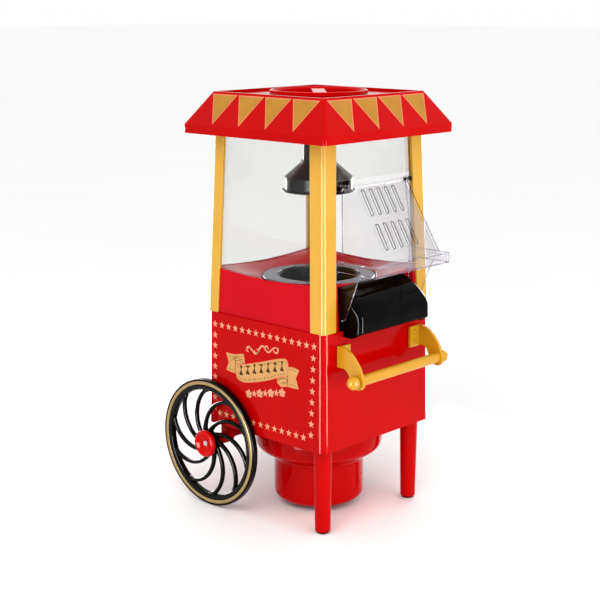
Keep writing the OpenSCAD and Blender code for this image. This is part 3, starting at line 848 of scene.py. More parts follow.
@dataclass(frozen=True)
class SidePrint:
    """The print on one side panel: a star border, a wavy ribbon, a flourish and a row of blossoms."""

    side: Side
    star_r: float = 3.75 * MM
    top_z: float = 176 * MM
    foot_z: float = 91 * MM
    top_stars: int = 15
    foot_stars: int = 13
    column_stars: int = 8
    top_row: Point = (-63.1 * MM, 62.2 * MM)
    foot_row: Point = (-57.6 * MM, 50.4 * MM)
    column_top: float = 165.5 * MM
    column_pitch: float = 10.06 * MM
    draft: float = 73.5 / 75
    line: float = 0.8 * MM
    crease: float = 0.45 * MM
    pen_width: float = 0.8 * MM
    pen_swell: float = 0.9 * MM
    inset: float = 2.4 * MM
    kernels: int = 7
    blossoms: int = 7

    @property
    def name(self) -> str:
        """Returns the side in words."""
        return self.side.name.lower()

    def plane(self) -> PrintPlane:
        """Returns the side panel's face, which leans with the body's draft."""
        low, high = LINES.body_low, LINES.body_high
        half_low = high.x
        height = high.z - low.z
        half_high = half_low * self.draft
        sign = self.side.value
        foot = Vector((sign * half_low, LINES.axis_y, low.z))
        head = Vector((sign * half_high, LINES.axis_y, high.z))
        up = (head - foot) / height
        return PrintPlane(foot - up * low.z, Vector((0, sign, 0)), up)

    def stars(self) -> None:
        """Prints the border of stars."""
        pen = Printer(self.plane())
        rows = ((self.top_row, self.top_stars, self.top_z), (self.foot_row, self.foot_stars, self.foot_z))
        for (first, last), count, height in rows:
            for i in range(count):
                pen.star(first + (last - first) * i / (count - 1), height, self.star_r)
        for i in range(self.column_stars):
            z = self.column_top - i * self.column_pitch
            share = i / (self.column_stars - 1)
            pen.star((-63.2 - 1.0 * share) * MM, z, self.star_r)
            pen.star((61.6 - 2.2 * share) * MM, z, self.star_r)
        pen.finish(f"{self.name}_star_border", "print_peach")

    def ribbon(self) -> None:
        """Prints the wavy ribbon with its folded tails, stitching and a row of kernels."""
        tails = Printer(self.plane())
        for outline in (
            [(-44.8, 142.4), (-48.1, 134.8), (-42.4, 133.8), (-35.8, 133.9), (-35.8, 150)],
            [(-48.6, 151.5), (-44.8, 142.4), (-35.8, 148), (-36.1, 151.4), (-42.3, 150.9)],
            [(-36.2, 151.4), (-36.4, 143.2), (-30.6, 143.4), (-23.7, 145.4), (-25.4, 153.7)],
            [(30.4, 134.1), (38.6, 133.9), (44.1, 134.1), (40.5, 143.4), (30.8, 152)],
            [(40.5, 143.4), (44.6, 151.4), (39.8, 152.4), (35.3, 152.5), (30.8, 151.9)],
            [(22.5, 132.2), (30.9, 134.1), (30.7, 142.6), (23.7, 141.0), (17.6, 138.4), (17.9, 135.1)],
        ):
            tails.shape(self._mm(outline))
        tails.finish(f"{self.name}_ribbon_tails", "print_ribbon")
        band = Printer(self.plane(), InkLayer.SECOND)
        top = Stock.smooth_line(self._mm(self._band_top()), 4)
        foot = Stock.smooth_line(self._mm(self._band_foot()), 4)
        for i in range(len(top) - 1):
            band.shape([foot[i], foot[i + 1], top[i + 1], top[i]])
        band.finish(f"{self.name}_ribbon_band", "print_ribbon")
        self._edges(top, foot)
        self._stitching(top, foot)

    @staticmethod
    def _mm(points: Sequence[Point]) -> list[Point]:
        """Returns points in metres.

        Args:
            points: Points in millimetres.
        """
        return [(u * MM, v * MM) for u, v in points]

    @staticmethod
    def _band_top() -> list[Point]:
        """Returns the band's upper edge, left to right."""
        return [
            (-36.4, 142.4), (-30.6, 142.9), (-24.4, 144.0), (-12.8, 147.2), (0.7, 151.3), (13.9, 155.5),
            (23.0, 158.0), (27.6, 158.4), (30.2, 157.2), (31.2, 154.4),
        ]

    @staticmethod
    def _band_foot() -> list[Point]:
        """Returns the band's lower edge, left to right."""
        return [
            (-35.9, 134.6), (-34.0, 130.0), (-30.6, 127.9), (-24.4, 127.3), (-12.8, 129.5), (0.7, 133.3),
            (10.0, 136.5), (18.0, 139.6), (24.4, 141.8), (30.6, 143.2),
        ]

    def _edges(self, top: Sequence[Point], foot: Sequence[Point]) -> None:
        """Prints the ribbon's coral outline.

        Args:
            top: The band's upper edge.
            foot: The band's lower edge.
        """
        pen = Printer(self.plane(), InkLayer.THIRD)
        for edge in (top, foot, [top[0], foot[0]], [foot[-1], top[-1]]):
            pen.stroke(edge, self.line)
        tails = [
            [(-35.8, 133.9), (-42.4, 133.8), (-48.1, 134.8), (-44.8, 142.4), (-48.6, 151.5), (-42.3, 150.9),
             (-36.1, 151.4), (-25.4, 153.7), (-23.7, 145.6)],
            [(31.1, 151.9), (35.3, 152.5), (39.8, 152.4), (44.6, 151.4), (40.5, 143.4), (44.1, 134.1),
             (38.6, 133.9), (30.9, 134.1), (22.5, 132.2), (17.9, 135.1), (17.5, 138.5)],
        ]
        for tail in tails:
            pen.stroke(self._mm(tail), self.line)
        pen.finish(f"{self.name}_ribbon_outline", "print_coral")

    def _stitching(self, top: Sequence[Point], foot: Sequence[Point]) -> None:
        """Prints the ribbon's brown stitches, fold lines and kernels.

        Args:
            top: The band's upper edge.
            foot: The band's lower edge.
        """
        pen = Printer(self.plane(), InkLayer.THIRD)
        self._dashes(pen, [(u, v - self.inset) for u, v in top[:-4]])
        self._dashes(pen, [(u, v + self.inset) for u, v in foot[6:-2]])
        for line in (
            [(-45.5, 148.6), (-41.5, 148.1), (-37.2, 148.7)],
            [(-45.4, 136.9), (-41.8, 136.3), (-37.0, 136.4)],
            [(-34.8, 150.0), (-30.0, 150.6), (-26.6, 151.4)],
            [(33.0, 150.2), (37.0, 150.4), (41.4, 149.8)],
            [(33.0, 136.4), (37.0, 136.4), (41.2, 136.5)],
            [(21.5, 134.8), (26.0, 135.6), (29.8, 136.4)],
        ):
            self._dashes(pen, Stock.smooth_line(self._mm(line), 5))
        for line in (
            [(-36.2, 133.9), (-36.3, 141.0), (-36.5, 147.6), (-34.2, 149.0), (-30.2, 148.0), (-26.4, 147.9)],
            [(-36.2, 145.6), (-32.4, 146.6), (-28.6, 145.9), (-25.0, 146.2)],
            [(17.7, 137.0), (23.0, 139.6), (28.4, 140.6), (30.4, 139.2), (28.6, 137.4), (24.2, 136.7)],
            [(30.6, 134.4), (30.8, 140.0), (30.7, 145.0)],
        ):
            pen.stroke(Stock.smooth_line(self._mm(line), 5), self.crease)
        for i in range(self.kernels):
            share = (i + 0.5) / self.kernels
            self._kernel(pen, -33.0 * MM + share * 61 * MM, (133.8 + share * 15.8) * MM, i % 2 == 0)
        pen.finish(f"{self.name}_ribbon_stitching", "print_brown")

    @staticmethod
    def _dashes(pen: Printer, line: Sequence[Point]) -> None:
        """Prints a row of stitches along a line.

        Args:
            pen: The print.
            line: The line that they follow.
        """
        for i in range(0, len(line) - 1, 2):
            pen.stroke(line[i : i + 2], 0.5 * MM)

    @staticmethod
    def _kernel(pen: Printer, u: float, v: float, tall: bool) -> None:
        """Prints one popped kernel: a small cluster of lobes, on a stalk if it is tall.

        Args:
            pen: The print.
            u: Centre across.
            v: Centre up.
            tall: Whether a stalk and a bud stand above it.
        """
        reach = 1.3 * MM
        for turn in map(math.radians, (90, 210, 330)):
            pen.dot(u + reach * math.cos(turn), v + reach * math.sin(turn), 1.25 * MM)
        stalk = [(u, v + 1.6 * MM), (u, v + 5.6 * MM)]
        pen.stroke(stalk, 0.95 * MM)
        if tall:
            pen.dot(u, v + 6.4 * MM, 1.3 * MM)
        else:
            pen.dot(u - 1.1 * MM, v + 6.0 * MM, 1.05 * MM)
            pen.dot(u + 1.1 * MM, v + 6.0 * MM, 1.05 * MM)

    def flourish(self) -> None:
        """Prints the pen flourish above the ribbon: a wave with four curls."""
        pen = Printer(self.plane())
        wave: list[Point] = []
        for i in range(49):
            share = i / 48
            u = -22.4 + 42.0 * share
            fade = 0.35 + 0.65 * math.sin(math.pi * min(1.0, share + 0.12))
            wave.append((u * MM, (157.6 + 8.8 * share + 3.7 * fade * math.sin(share * 5 * math.pi)) * MM))
        pen.stroke(wave, self.pen_width, self.pen_swell)
        for share, size, flip in ((0.08, 3.9, 1), (0.33, 3.2, -1), (0.62, 3.2, 1), (0.92, 3.9, -1)):
            u, v = -22.4 + 42.0 * share, 157.6 + 8.8 * share
            curl: list[Point] = []
            for i in range(21):
                turn = i / 20 * 1.55 * math.pi
                reach = size * (1 - 0.6 * i / 20)
                curl.append((
                    (u + flip * reach * math.cos(turn) * 0.9) * MM,
                    (v + flip * (reach * math.sin(turn) + 0.5)) * MM,
                ))
            pen.stroke(curl, self.pen_width, self.pen_swell)
        pen.finish(f"{self.name}_flourish", "print_peach")

    def blossom_row(self) -> None:
        """Prints blossoms and stars by turns in a row below the ribbon."""
        row = Printer(self.plane())
        for i in range(self.blossoms):
            share = i / (self.blossoms - 1)
            u, v = (-18.6 + 42.4 * share) * MM, (117.2 + 9.6 * share) * MM
            if i % 2:
                row.star(u, v, 3.9 * MM)
                continue
            for petal in range(5):
                turn = math.pi / 2 + petal * 2 * math.pi / 5
                row.dot(u + 2.5 * MM * math.cos(turn), v + 2.5 * MM * math.sin(turn), 1.6 * MM)
            row.dot(u, v, 1.5 * MM)
        row.finish(f"{self.name}_blossom_row", "print_peach")

    def build(self) -> None:
        """Prints everything on this side."""
        self.stars()
        self.ribbon()
        self.flourish()
        self.blossom_row()


@dataclass(frozen=True)
class PennantPrint:
    """The four pennants printed on each slope of the roof."""

    pitch: float = 33 * MM
    width: float = 31.5 * MM
    drop: float = 31 * MM
    below_edge: float = 2.4 * MM
    outline: float = 1.1 * MM
    count: int = 4
    rim_rise: float = 7.8 * MM
    narrowing: float = 67.7 / 86.9

    def build(self) -> None:
        """Prints the pennants on all four slopes."""
        low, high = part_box("roof")
        half_low = high.x
        half_top = half_low * self.narrowing
        for turn, name in enumerate(("front", "right", "back", "left")):
            spin = Matrix.Rotation(turn * math.pi / 2, 3, "Z")
            head = Vector((0, -half_top, high.z))
            foot = Vector((0, -half_low, low.z + self.rim_rise))
            up = (head - foot).normalized()
            centre = Vector((0, LINES.axis_y, 0))
            plane = PrintPlane(centre + spin @ head, spin @ Vector((1, 0, 0)), spin @ up)
            cloth, border = Printer(plane, InkLayer.SECOND), Printer(plane)
            for i in range(self.count):
                u = (i - (self.count - 1) / 2) * self.pitch
                border.shape(self._triangle(u, 0.0))
                cloth.shape(self._triangle(u, self.outline))
            cloth.finish(f"{name}_pennants", "print_gold")
            border.finish(f"{name}_pennant_edges", "print_coral")

    def _triangle(self, u: float, inset: float) -> list[Point]:
        """Returns one pennant's outline.

        Args:
            u: Its centre across the slope.
            inset: How far the outline is drawn in.
        """
        half = self.width / 2
        slant = math.hypot(half, self.drop)
        side = inset * slant / self.drop + inset * half / self.drop
        return [
            (u, -self.below_edge - self.drop + inset * slant / half),
            (u + half - side, -self.below_edge - inset),
            (u - half + side, -self.below_edge - inset),
        ]


# ---------------------------------------------------------------- sub-assemblies


@dataclass
class Body:
    """The red body: shell, dish and drum, legs, feet and axle, and the print on its sides."""

    wall: float = 2.4 * MM
    drum_r: float = 42.7 * MM
    dish_r: float = 60.5 * MM
    inlet_r: float = 34 * MM
    grille_z: float = 5.3 * MM
    foot_r: float = 7 * MM
    plate_share: float = 0.995
    corner_share: float = 1.36

    def build(self) -> None:
        """Builds and dresses the body's pieces."""
        dress("body_shell", "body_red", Corner.CRISP, 3)
        red_nodes = ("front_left_leg", "front_right_leg", "axle_carrier", "intake_grille")
        dress_all(red_nodes, "body_red", Corner.CRISP)
        dress("leg_feet", "foot_dark", Corner.FINE)
        dress_all(("leg_screws", "base_screws", "axle", "axle_clips"), "steel", Corner.FINE)
        self.bowl()
        self.base_plate()
        for side in Side:
            SidePrint(side).build()

    def bowl(self) -> None:
        """Turns the dish and drum as one smooth shell, open at its top and round its inlet."""
        floor, top = self.grille_z, LINES.body_low.z
        wall = self.wall
        outside = [(self.inlet_r, floor)]
        outside += Stock.arc((self.drum_r - self.foot_r, floor + self.foot_r), self.foot_r, -90, 0, 10)
        outside += Stock.smooth_line(
            [
                (self.drum_r, 43 * MM), (self.drum_r + 0.7 * MM, 45.6 * MM), (46 * MM, 48.6 * MM),
                (51.5 * MM, 51.8 * MM), (56.2 * MM, 54.6 * MM), (59.2 * MM, 58 * MM),
                (self.dish_r - 0.2 * MM, 61.6 * MM), (self.dish_r, 65 * MM),
            ],
            5,
        )
        outside.append((self.dish_r, top))
        inside = [(r - wall, z + (wall if z < 60 * MM else 0)) for r, z in reversed(outside[2:-1])]
        profile = outside + [(self.dish_r - wall, top)] + inside + [(self.inlet_r, floor + wall)]
        bowl = Stock.turned("base_bowl", profile, LINES.at(0, 0, 0), "body_red", "body_red", 128)
        Stock.ease(bowl, Corner.NONE)
        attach(bowl, "cart")
        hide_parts("base_housing")

    def base_plate(self) -> None:
        """Cuts the square plate that closes the body round the dish."""
        _low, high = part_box("base_housing")
        half = high.x
        z0, z1 = LINES.body_low.z, high.z
        steps = 96
        points: list[Vector] = []
        for i in range(steps):
            turn = 2 * math.pi * (i + 0.5) / steps
            c, s = math.cos(turn), math.sin(turn)
            edge = min(half * self.plate_share / max(abs(c), abs(s)), half * self.corner_share)
            hole = self.dish_r - self.wall
            for reach, z in ((hole, z0), (edge, z0), (edge, z1), (hole, z1)):
                points.append(LINES.at(reach * c, reach * s, z))
        faces = []
        for i in range(steps):
            k = (i + 1) % steps
            faces += [(i * 4 + j, i * 4 + (j + 1) % 4, k * 4 + (j + 1) % 4, k * 4 + j) for j in range(4)]
        plate = Stock.piece("base_plate", points, faces, "body_red", "body_red", smooth=False)
        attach(plate, "cart")


@dataclass
class Cabinet:
    """Posts, clear panels, deck and the ring round the popping chamber."""

    def build(self) -> None:
        """Dresses the cabinet's pieces."""
        posts = ("front_left_post", "front_right_post", "rear_left_post", "rear_right_post")
        dress_all(posts, "post_yellow", Corner.CRISP, 3)
        dress_all(("left_panel", "right_panel", "back_panel", "front_panel"), "clear_panel", Corner.FINE)
        dress("deck", "deck_crimson", Corner.SOFT, 3)
        dress("chamber_ring", "ring_alu", Corner.CRISP)
        dress("ring_seal", "seal_black", Corner.FINE)
        dress("popping_chamber", "chamber_alu", Corner.FINE)


@dataclass
class Roof:
    """The roof, its ceiling plate, the filler tube, the kettle-shaped hood and the measuring cup."""

    def build(self) -> None:
        """Dresses the roof's pieces and prints its pennants."""
        dress("roof", "body_red", Corner.SOFT, 3)
        dress("ceiling_plate", "body_red", Corner.CRISP)
        dress("measuring_cup", "hub_red", Corner.CRISP, 3)
        dress_all(("filler_tube", "kettle_hood"), "charcoal", Corner.CRISP)
        dress("roof_screws", "steel", Corner.FINE)
        PennantPrint().build()


@dataclass
class Chute:
    """The glossy black chute that popcorn slides down."""

    half: float = 48.4 * MM
    edge_r: float = 5 * MM
    wall: float = 2.2 * MM
    root_y: float = -63.4 * MM
    reach_back: float = 30 * MM
    edge_steps: int = 6
    flat_step: float = 6 * MM
    flat_count: int = 6
    profile: tuple[Point, ...] = (
        (-63.6, 224.6), (-66.5, 223.2), (-70, 220.8), (-73.5, 218.9), (-78, 216.6), (-82, 213.9),
        (-86, 210.6), (-89.6, 207.2), (-92.2, 204.2), (-93.8, 200.6), (-94.3, 196), (-94.2, 187),
    )

    def build(self) -> None:
        """Builds the ramp as a smooth shell with round side edges."""
        line = Stock.smooth_line([(y * MM, z * MM) for y, z in self.profile], 4)
        columns = self._columns()
        points: list[Vector] = []
        for x, back, sink in columns:
            for y, z in line:
                points.append(LINES.at(x, min(y + back, self.root_y), z - sink))
        rows, count = len(line), len(columns)
        faces = []
        for i in range(count - 1):
            for j in range(rows - 1):
                faces.append((i * rows + j, i * rows + j + 1, (i + 1) * rows + j + 1, (i + 1) * rows + j))
        sheet = Stock.piece("chute_ramp", points, faces, "chute_black", "black_gloss")
        solid = sheet.modifiers.new("thickness", "SOLIDIFY")
        solid.thickness = self.wall
        solid.offset = -1 if self._faces_out(sheet) else 1
        Stock.ease(sheet, Corner.NONE)
        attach(sheet, "cart")
        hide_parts("popcorn_chute")

    def _columns(self) -> list[tuple[float, float, float]]:
        """Returns the ramp's stations across as (x, set back, sink), with its sides turned in."""
        edge = self.edge_r
        turned = [(self.half, self.reach_back, edge), (self.half, edge * 2, edge)]
        for i in range(self.edge_steps + 1):
            turn = math.pi / 2 * i / self.edge_steps
            sunk = edge * (1 - math.sin(turn))
            turned.append((self.half - edge + edge * math.cos(turn), sunk, sunk / 2))
        flat = [self.half - edge - self.flat_step * i for i in range(1, self.flat_count + 1)]
        right = turned + [(x, 0.0, 0.0) for x in flat]
        left = [(-x, back, sink) for x, back, sink in right]
        return left + [(0.0, 0.0, 0.0)] + list(reversed(right))

    @staticmethod
    def _faces_out(sheet: bpy.types.Object) -> bool:
        """Returns whether the ramp's middle faces look forward or up.

        Args:
            sheet: The ramp.
        """
        middle = sheet.data.polygons[len(sheet.data.polygons) // 2]
        return middle.normal.z - middle.normal.y > 0


@dataclass
class Visor:
    """The clear slotted visor, thin lines along its edges that paint highlights and shade, and its hinge
    pins.

    Places on the visor are in millimetres.
    """

    line_r: float = 0.34 * MM
    level_share: float = 0.9
    cheek_x: float = 50.6
    top_x: float = 43.0
    sill: Point = (239.9, 248.6)
    slot_pitch: float = 10.3
    slot_ends: tuple[Point, ...] = ((6.3, 31.3), (39.2, 64))
    slot_r: float = 1.75
    slot_proud: float = 0.05
    slope_top: Point = (-67.2, 314)
    slope_foot: Point = (-105.5, 249)

    def build(self) -> None:
        """Dresses the visor and its pins, and draws thin lines along its edges that paint highlights and
        shade.
        """
        dress("visor", "clear_visor", Corner.FINE)
        dress("visor_pins", "charcoal", Corner.FINE)
        self.edges()

    def edges(self) -> None:
        """Lays thin lines of painted light along the edges: painted highlights round the outlines, painted
        shade round the slots and the slope's right edge.
        """
        # Pale lines paint highlights along the outlines; dark lines paint shade round the slots.
        self._edge_set("visor_edges", self._outline_paths(), "bright_edge")
        self._edge_set("visor_slot_edges", self._slot_paths(), "clear_edge")

    def _edge_set(self, name: str, paths: list[list[Vector]], finish: str) -> None:
        """Builds one set of edge lines as one piece.

        Args:
            name: The piece's name.
            paths: The lines' points.
            finish: The lines' finish.
        """
        tubes = [self._line(start, stop) for path in paths for start, stop in zip(path, path[1:])]
        points, faces = Stock.bundle(tubes)
        made = Stock.piece(name, points, faces, finish, "clear_visor")
        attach(made, "visor")

    def _line(self, start: Vector, stop: Vector) -> Shell:
        """Sweeps one straight edge line.

        Args:
            start: Its first end.
            stop: Its last end.
        """
        level = abs((stop - start).normalized().x) > self.level_share
        across = Vector((0, 0, 1)) if level else Vector((1, 0, 0))
        return Stock.tube([start, stop], lambda _: (self.line_r, self.line_r), across, 6)

    def _outline_paths(self) -> list[list[Vector]]:
        """Returns the lines round the cheeks and the sill."""
        r = self.line_r / MM
        made: list[list[Vector]] = []
        cheek = [
            (-67 - r, 246), (-67 - r, 198.2), (-69, 196.6), (-76.3, 197.2), (-78.2, 199), (-91.9, 234.2),
            (-95.8, 239.6),
        ]
        for s in (-1, 1):
            made.append([self._mm(s * (self.cheek_x - r), y, z) for y, z in cheek])
            made.append([self._mm(s * self.top_x, -66.8, 313), self._mm(s * 48.0, -72.2, 249.6)])
        rim = [(-50.6, -67.4), (-50.6, -112.6), (50.6, -112.6), (50.6, -67.4)]
        for z in self.sill:
            made.append([self._mm(x, y, z) for x, y in rim])
        for x, y in rim[1:3]:
            made.append([self._mm(x, y, z) for z in self.sill])
        return made

    def _slot_paths(self) -> list[list[Vector]]:
        """Returns the slots' outlines and the slope's right edge."""
        made = [[self._mm(self.top_x, -67.6, 313.4), self._mm(45.7, -105.0, 249.6)]]
        for i in range(-2, 3):
            for first, last in self.slot_ends:
                outline = self._slot(i * self.slot_pitch, first, last)
                made.append(outline + outline[:1])
        return made

    @staticmethod
    def _mm(x: float, y: float, z: float) -> Vector:
        """Returns a place given in millimetres from the body's upright axis.

        Args:
            x: Distance to the right.
            y: Distance behind the axis.
            z: Height above the floor.
        """
        return LINES.at(x * MM, y * MM, z * MM)

    def _slot(self, x: float, first: float, last: float) -> list[Vector]:
        """Returns one slot's outline on the sloped face.

        Args:
            x: The slot's place across.
            first: Its upper end, along the slope.
            last: Its lower end.
        """
        top_y, top_z = self.slope_top
        lean = math.atan2(top_y - self.slope_foot[0], top_z - self.slope_foot[1])
        outline = Stock.arc((x, -first - self.slot_r), self.slot_r, 0, 180, 6)
        outline += Stock.arc((x, -last + self.slot_r), self.slot_r, 180, 360, 6)
        face_y = top_y - self.slot_proud
        return [self._mm(u, face_y + v * math.sin(lean), top_z + v * math.cos(lean)) for u, v in outline]


@dataclass
class Handle:
    """The yellow push handle on its two curved brackets."""

    def build(self) -> None:
        """Dresses the handle's pieces."""
        dress("handle_bar", "handle_yellow", Corner.CRISP)
        dress("handle_knobs", "handle_yellow", Corner.NONE)
        dress_all(("left_handle_bracket", "right_handle_bracket"), "handle_yellow", Corner.CRISP, 3)
        dress("handle_screws", "handle_yellow", Corner.FINE)


@dataclass
class Wheel:
    """One wheel: a round-edged black rim, ten curved spokes, a hub, a gilt band and a red cap."""

    side: Side
    outer_r: float = 61.5 * MM
    inner_r: float = 51 * MM
    width: float = 7 * MM
    face_x: float = 84 * MM
    spokes: int = 10
    spoke_phase: float = 22.6
    arc_r: float = 32.6 * MM
    arc_at: float = 29 * MM
    arc_lean: float = -36.4
    hub_r: float = 10.5 * MM
    bore_r: float = 2.56 * MM
    spoke_depth: float = 3.4 * MM
    spoke_steps: int = 24

    @property
    def name(self) -> str:
        """Returns the wheel's side in words."""
        return self.side.name.lower()

    def centre(self) -> Vector:
        """Returns the wheel's centre, on its outer face."""
        low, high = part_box(f"{self.name}_wheel")
        return Vector((self.side.value * self.face_x, (low.y + high.y) / 2, (low.z + high.z) / 2))

    def local(self, u: float, v: float, depth: float) -> Vector:
        """Returns a place on the wheel, seen from its outer side.

        Args:
            u: Distance to the viewer's right.
            v: Distance up.
            depth: Distance in from the outer face.
        """
        sign = self.side.value
        return self.centre() + Vector((-sign * depth, sign * u, v))

    def build(self) -> None:
        """Builds the rim, the spokes, the hub, the band and the cap."""
        self.rim()
        self.spoke_set()
        self.hub()
        self.band()
        self.cap()

    def band(self) -> None:
        """Turns the gilt band, slightly crowned, into the rim's groove."""
        r = self.outer_r
        crown = ((5.5, 0.9), (5.3, 0.6), (4.7, 0.2), (3.7, 0.01), (2.7, 0.2), (2.1, 0.6), (1.9, 0.9))
        profile = [(r - inset * MM, depth * MM) for inset, depth in crown]
        band = self._turned(f"{self.name}_gilt_band", profile, 160, "gilt", "gilt")
        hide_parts(f"{self.name}_wheel_band")

    def cap(self) -> None:
        """Turns the red cap: a rounded rim round a shallow dish."""
        profile = [
            (0, -1.7), (3, -1.9), (5.6, -2.6), (7.6, -3.8), (8.9, -5.1), (9.8, -5.8), (10.6, -5.92),
            (11.5, -5.6), (12.3, -4.9), (12.8, -3.9), (13.0, -2.7), (12.9, -1.4), (12.4, -0.5), (11.6, -0.1),
            (0, -0.1),
        ]
        turned = [(r * MM, d * MM) for r, d in profile]
        cap = self._turned(f"{self.name}_domed_cap", turned, 72, "hub_red", "hub_red")
        smoother = cap.modifiers.new("round", "SUBSURF")
        smoother.levels = smoother.render_levels = 1
        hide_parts(f"{self.name}_hub_cap")

    def _turned(
        self,
        name: str,
        profile: Sequence[Point],
        steps: int = 128,
        finish: str = "wheel_black",
        slot: str = "wheel_black",
    ) -> bpy.types.Object:
        """Turns a profile about the axle.

        Args:
            name: The piece's name.
            profile: (radius, depth in from the outer face) pairs.
            steps: Facets round the axle.
            finish: Name of the finish.
            slot: The record's material slot.

        Returns:
            The turned piece.
        """
        sign = self.side.value
        mapped = [(r, -sign * d) for r, d in profile]
        made = Stock.turned(name, mapped, self.centre(), finish, slot, steps, Axis.AXLE)
        Stock.ease(made, Corner.NONE)
        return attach(made, f"{self.name}_wheel")

    def rim(self) -> None:
        """Turns the rim, with a shallow groove that carries the gilt band."""
        outer, inner, w = self.outer_r, self.inner_r, self.width
        profile = Stock.arc((outer - 1.6 * MM, 1.6 * MM), 1.6 * MM, -90, 0, 6)
        profile += Stock.arc((outer - 1.9 * MM, w - 1.9 * MM), 1.9 * MM, 0, 90, 6)
        profile += Stock.arc((inner + 1.7 * MM, w - 1.7 * MM), 1.7 * MM, 90, 180, 5)
        profile += Stock.arc((inner + 2.2 * MM, 2.4 * MM), 2.2 * MM, 180, 255, 6)
        groove = ((6.3, 0.1), (5.9, 0.25), (5.75, 0.8), (1.75, 0.8), (1.7, 0.12))
        profile += [(outer - inset * MM, depth * MM) for inset, depth in groove]
        rim = self._turned(f"{self.name}_wheel_rim", profile, 160)
        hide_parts(f"{self.name}_wheel")

    def hub(self) -> None:
        """Turns the hub behind the cap."""
        r, w, bore = self.hub_r, self.width, self.bore_r
        profile = [(bore, 0.1 * MM)]
        profile += Stock.arc((r - 0.9 * MM, 1.0 * MM), 0.9 * MM, -90, 0, 4)
        profile += Stock.arc((r - 0.9 * MM, w - 0.4 * MM), 0.9 * MM, 0, 60, 4)
        profile += [(7 * MM, w + 1.2 * MM), (bore, w + 1.2 * MM)]
        self._turned(f"{self.name}_wheel_hub", profile, 64)

    def spoke_set(self) -> None:
        """Sweeps the curved spokes, thicker where they meet the rim and the hub."""
        lean = math.radians(self.arc_lean)
        cu, cv = self.arc_at * math.cos(lean), self.arc_at * math.sin(lean)
        ends = [self._arc_angle(r) for r in (self.inner_r + 1.2 * MM, self.hub_r - 1.5 * MM)]
        tubes: list[Shell] = []
        for i in range(self.spokes):
            spin = math.radians(self.spoke_phase + i * 360 / self.spokes)
            c, s = math.cos(spin), math.sin(spin)
            path = []
            for j in range(self.spoke_steps + 1):
                turn = ends[0] + (ends[1] - ends[0]) * j / self.spoke_steps
                u, v = cu + self.arc_r * math.cos(turn), cv + self.arc_r * math.sin(turn)
                path.append(self.local(u * c - v * s, u * s + v * c, self.spoke_depth))
            tubes.append(Stock.tube(path, self._spoke_size, Vector((1, 0, 0)), 14))
        points, faces = Stock.bundle(tubes)
        made = Stock.piece(f"{self.name}_wheel_spokes", points, faces, "wheel_black", "wheel_black")
        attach(made, f"{self.name}_wheel")

    def _arc_angle(self, radius: float) -> float:
        """Returns where the spoke's arc crosses a circle about the axle.

        Args:
            radius: The circle's radius.
        """
        lean = math.radians(self.arc_lean)
        cosine = (radius**2 - self.arc_at**2 - self.arc_r**2) / (2 * self.arc_at * self.arc_r)
        return lean + math.acos(max(-1.0, min(1.0, cosine)))

    @staticmethod
    def _spoke_size(share: float) -> Point:
        """Returns a spoke's half sizes, across and along the axle.

        Args:
            share: Share of its length from the rim.
        """
        flare = max(0.0, 1 - share / 0.12) ** 1.5 + max(0.0, (share - 0.82) / 0.18)
        return (1.95 + 1.2 * flare) * MM, 2.3 * MM


@dataclass
class Works:
    """The fan, the motor and the heater inside, and the switch and gland at the back."""

    finishes: dict[str, str] = field(
        default_factory=lambda: {
            "heater_duct": "steel",
            "heater_core": "mica",
            "heating_coil": "heater_wire",
            "thermostat": "ceramic",
            "motor_spider": "charcoal",
            "fan_motor": "motor_steel",
            "motor_shaft": "steel",
            "fan_impeller": "fan_white",
            "switch_housing": "charcoal",
            "switch_rocker": "black_gloss",
            "switch_pin": "steel",
            "cord_gland": "charcoal",
        }
    )

    def build(self) -> None:
        """Dresses the works."""
        for node, finish in self.finishes.items():
            dress(node, finish, Corner.FINE)


# ---------------------------------------------------------------- studio


@dataclass(frozen=True)
class Softbox:
    """A soft rectangular lamp, not seen by the camera."""

    name: str
    place: Sequence[float]
    aim: Sequence[float]
    size: Point
    power: float

    def hang(self) -> bpy.types.Object:
        """Hangs the lamp and returns it."""
        data = bpy.data.lights.new(self.name, "AREA")
        data.shape = "RECTANGLE"
        data.size, data.size_y = self.size
        data.energy = self.power
        lamp = bpy.data.objects.new(self.name, data)
        lamp.location = self.place
        ahead = Vector(self.aim) - Vector(self.place)
        lamp.rotation_euler = ahead.to_track_quat("-Z", "Y").to_euler()
        lamp.visible_camera = False
        bpy.context.scene.collection.objects.link(lamp)
        return lamp


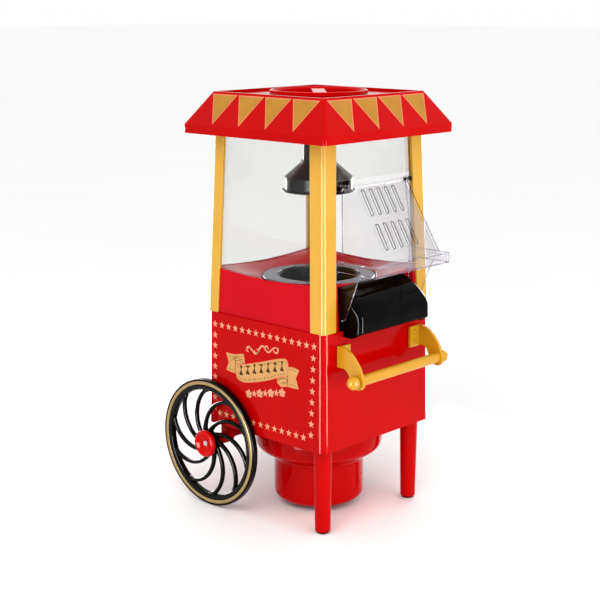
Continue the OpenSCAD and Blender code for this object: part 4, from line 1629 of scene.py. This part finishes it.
@dataclass
class Studio:
    """A pale floor, soft lights and the camera."""

    azimuth: float = -47.398
    elevation: float = 12.686
    distance: float = 1.247037
    aim_z: float = 0.196061
    lens: float = 79.9
    shift_x: float = -0.03124
    floor_size: float = 40.0
    response: tuple[Point, ...] = (
        (0.02, 0.006), (0.05, 0.024), (0.12, 0.1), (0.3, 0.3), (0.6, 0.62), (0.84, 0.94),
    )
    response_top: float = 1.05
    room_light: float = 0.9
    gleam_power: float = 1.45
    gleam_z: float = 0.165
    gleam_size: Point = (0.1, 0.33)

    def build(self) -> None:
        """Sets the stage."""
        self.camera()
        self.floor()
        self.world()
        self.lights()
        self.tone()

    def lights(self) -> None:
        """Hangs large lamps for the shading, and narrow upright ones that only gleam along the corners."""
        for fill in (
            Softbox("left_high", (-1.0, -0.45, 1.1), (0, 0, 0.2), (0.8, 0.8), 6.0),
            Softbox("front_high", (0.5, -1.1, 1.0), (0, 0, 0.2), (0.6, 0.6), 0.9),
            Softbox("front_low", (-0.1, -0.9, 0.16), (-0.1, 0, 0.2), (0.6, 0.3), 2.0),
        ):
            fill.hang().visible_glossy = False
        z = self.gleam_z
        for name, place, aim in (
            ("left_gleam", (-0.33, -0.075, z), (0, -0.075, z)),
            ("front_gleam", (-0.06, -0.37, z), (-0.06, 0, z)),
            ("right_gleam", (0.33, 0.04, z), (0, 0.04, z)),
            ("back_gleam", (0.06, 0.36, z), (0.06, 0, z)),
        ):
            Softbox(name, place, aim, self.gleam_size, self.gleam_power).hang().visible_diffuse = False

    def tone(self) -> None:
        """Sets how light is shown: deep shadows, and a pale floor close to white."""
        view = bpy.context.scene.view_settings
        view.view_transform = "Standard"
        view.look = "None"
        view.use_curve_mapping = True
        curve = view.curve_mapping.curves[3]
        for light, shown in self.response:
            curve.points.new(light, shown)
        curve.points[-1].location = (1.0, self.response_top)
        view.curve_mapping.update()

    def camera(self) -> None:
        """Places the camera and makes it the scene's own."""
        data = bpy.data.cameras.new("camera")
        data.lens = self.lens
        data.sensor_width = 36
        data.shift_x = self.shift_x
        data.clip_start, data.clip_end = 0.05, 100
        camera = bpy.data.objects.new("camera", data)
        bpy.context.scene.collection.objects.link(camera)
        turn, tilt = math.radians(self.azimuth), math.radians(self.elevation)
        ahead = Vector((
            -math.sin(turn) * math.cos(tilt),
            math.cos(turn) * math.cos(tilt),
            -math.sin(tilt),
        ))
        aim = LINES.at(0, 0, self.aim_z)
        camera.location = aim - ahead * self.distance
        camera.rotation_euler = ahead.to_track_quat("-Z", "Y").to_euler()
        bpy.context.scene.camera = camera

    def floor(self) -> None:
        """Lays the pale floor, just under the feet."""
        half = self.floor_size / 2
        mesh = bpy.data.meshes.new("floor")
        corners = [(-half, -half, 0), (half, -half, 0), (half, half, 0), (-half, half, 0)]
        mesh.from_pydata(corners, [], [(0, 1, 2, 3)])
        floor = bpy.data.objects.new("floor", mesh)
        floor.location.z = CAD_BOX[0].z - 0.0001
        bpy.context.scene.collection.objects.link(floor)
        desk = NodeDesk("floor_pale")
        desk.set(Specular_IOR_Level=0.1, Roughness=0.7)
        desk.plug(desk.ramp(desk.noise(3, 3), (0.94, 0.94, 0.935), (0.955, 0.955, 0.95)), "Base Color")
        mesh.materials.append(desk.material)
        floor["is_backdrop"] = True

    def world(self) -> None:
        """Fills the room with even pale light."""
        world = bpy.data.worlds.new("room")
        world.use_nodes = True
        back = world.node_tree.nodes["Background"]
        back.inputs["Color"].default_value = (1, 1, 1, 1)
        back.inputs["Strength"].default_value = self.room_light
        bpy.context.scene.world = world


def main() -> None:
    """Builds the cart's sub-assemblies in order and logs the new pieces of each."""
    logging.basicConfig(level=logging.INFO, format="%(name)s: %(message)s")
    Studio().build()
    parts = [Body(), Cabinet(), Roof(), Chute(), Visor(), Handle(), *(Wheel(side) for side in Side), Works()]
    for part in parts:
        before = {o.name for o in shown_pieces()}
        part.build()
        fresh = sorted({o.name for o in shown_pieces()} - before)
        LOG.info("%s built, new pieces: %s", type(part).__name__, ", ".join(fresh) or "none")


if __name__ == "__main__":
    main()
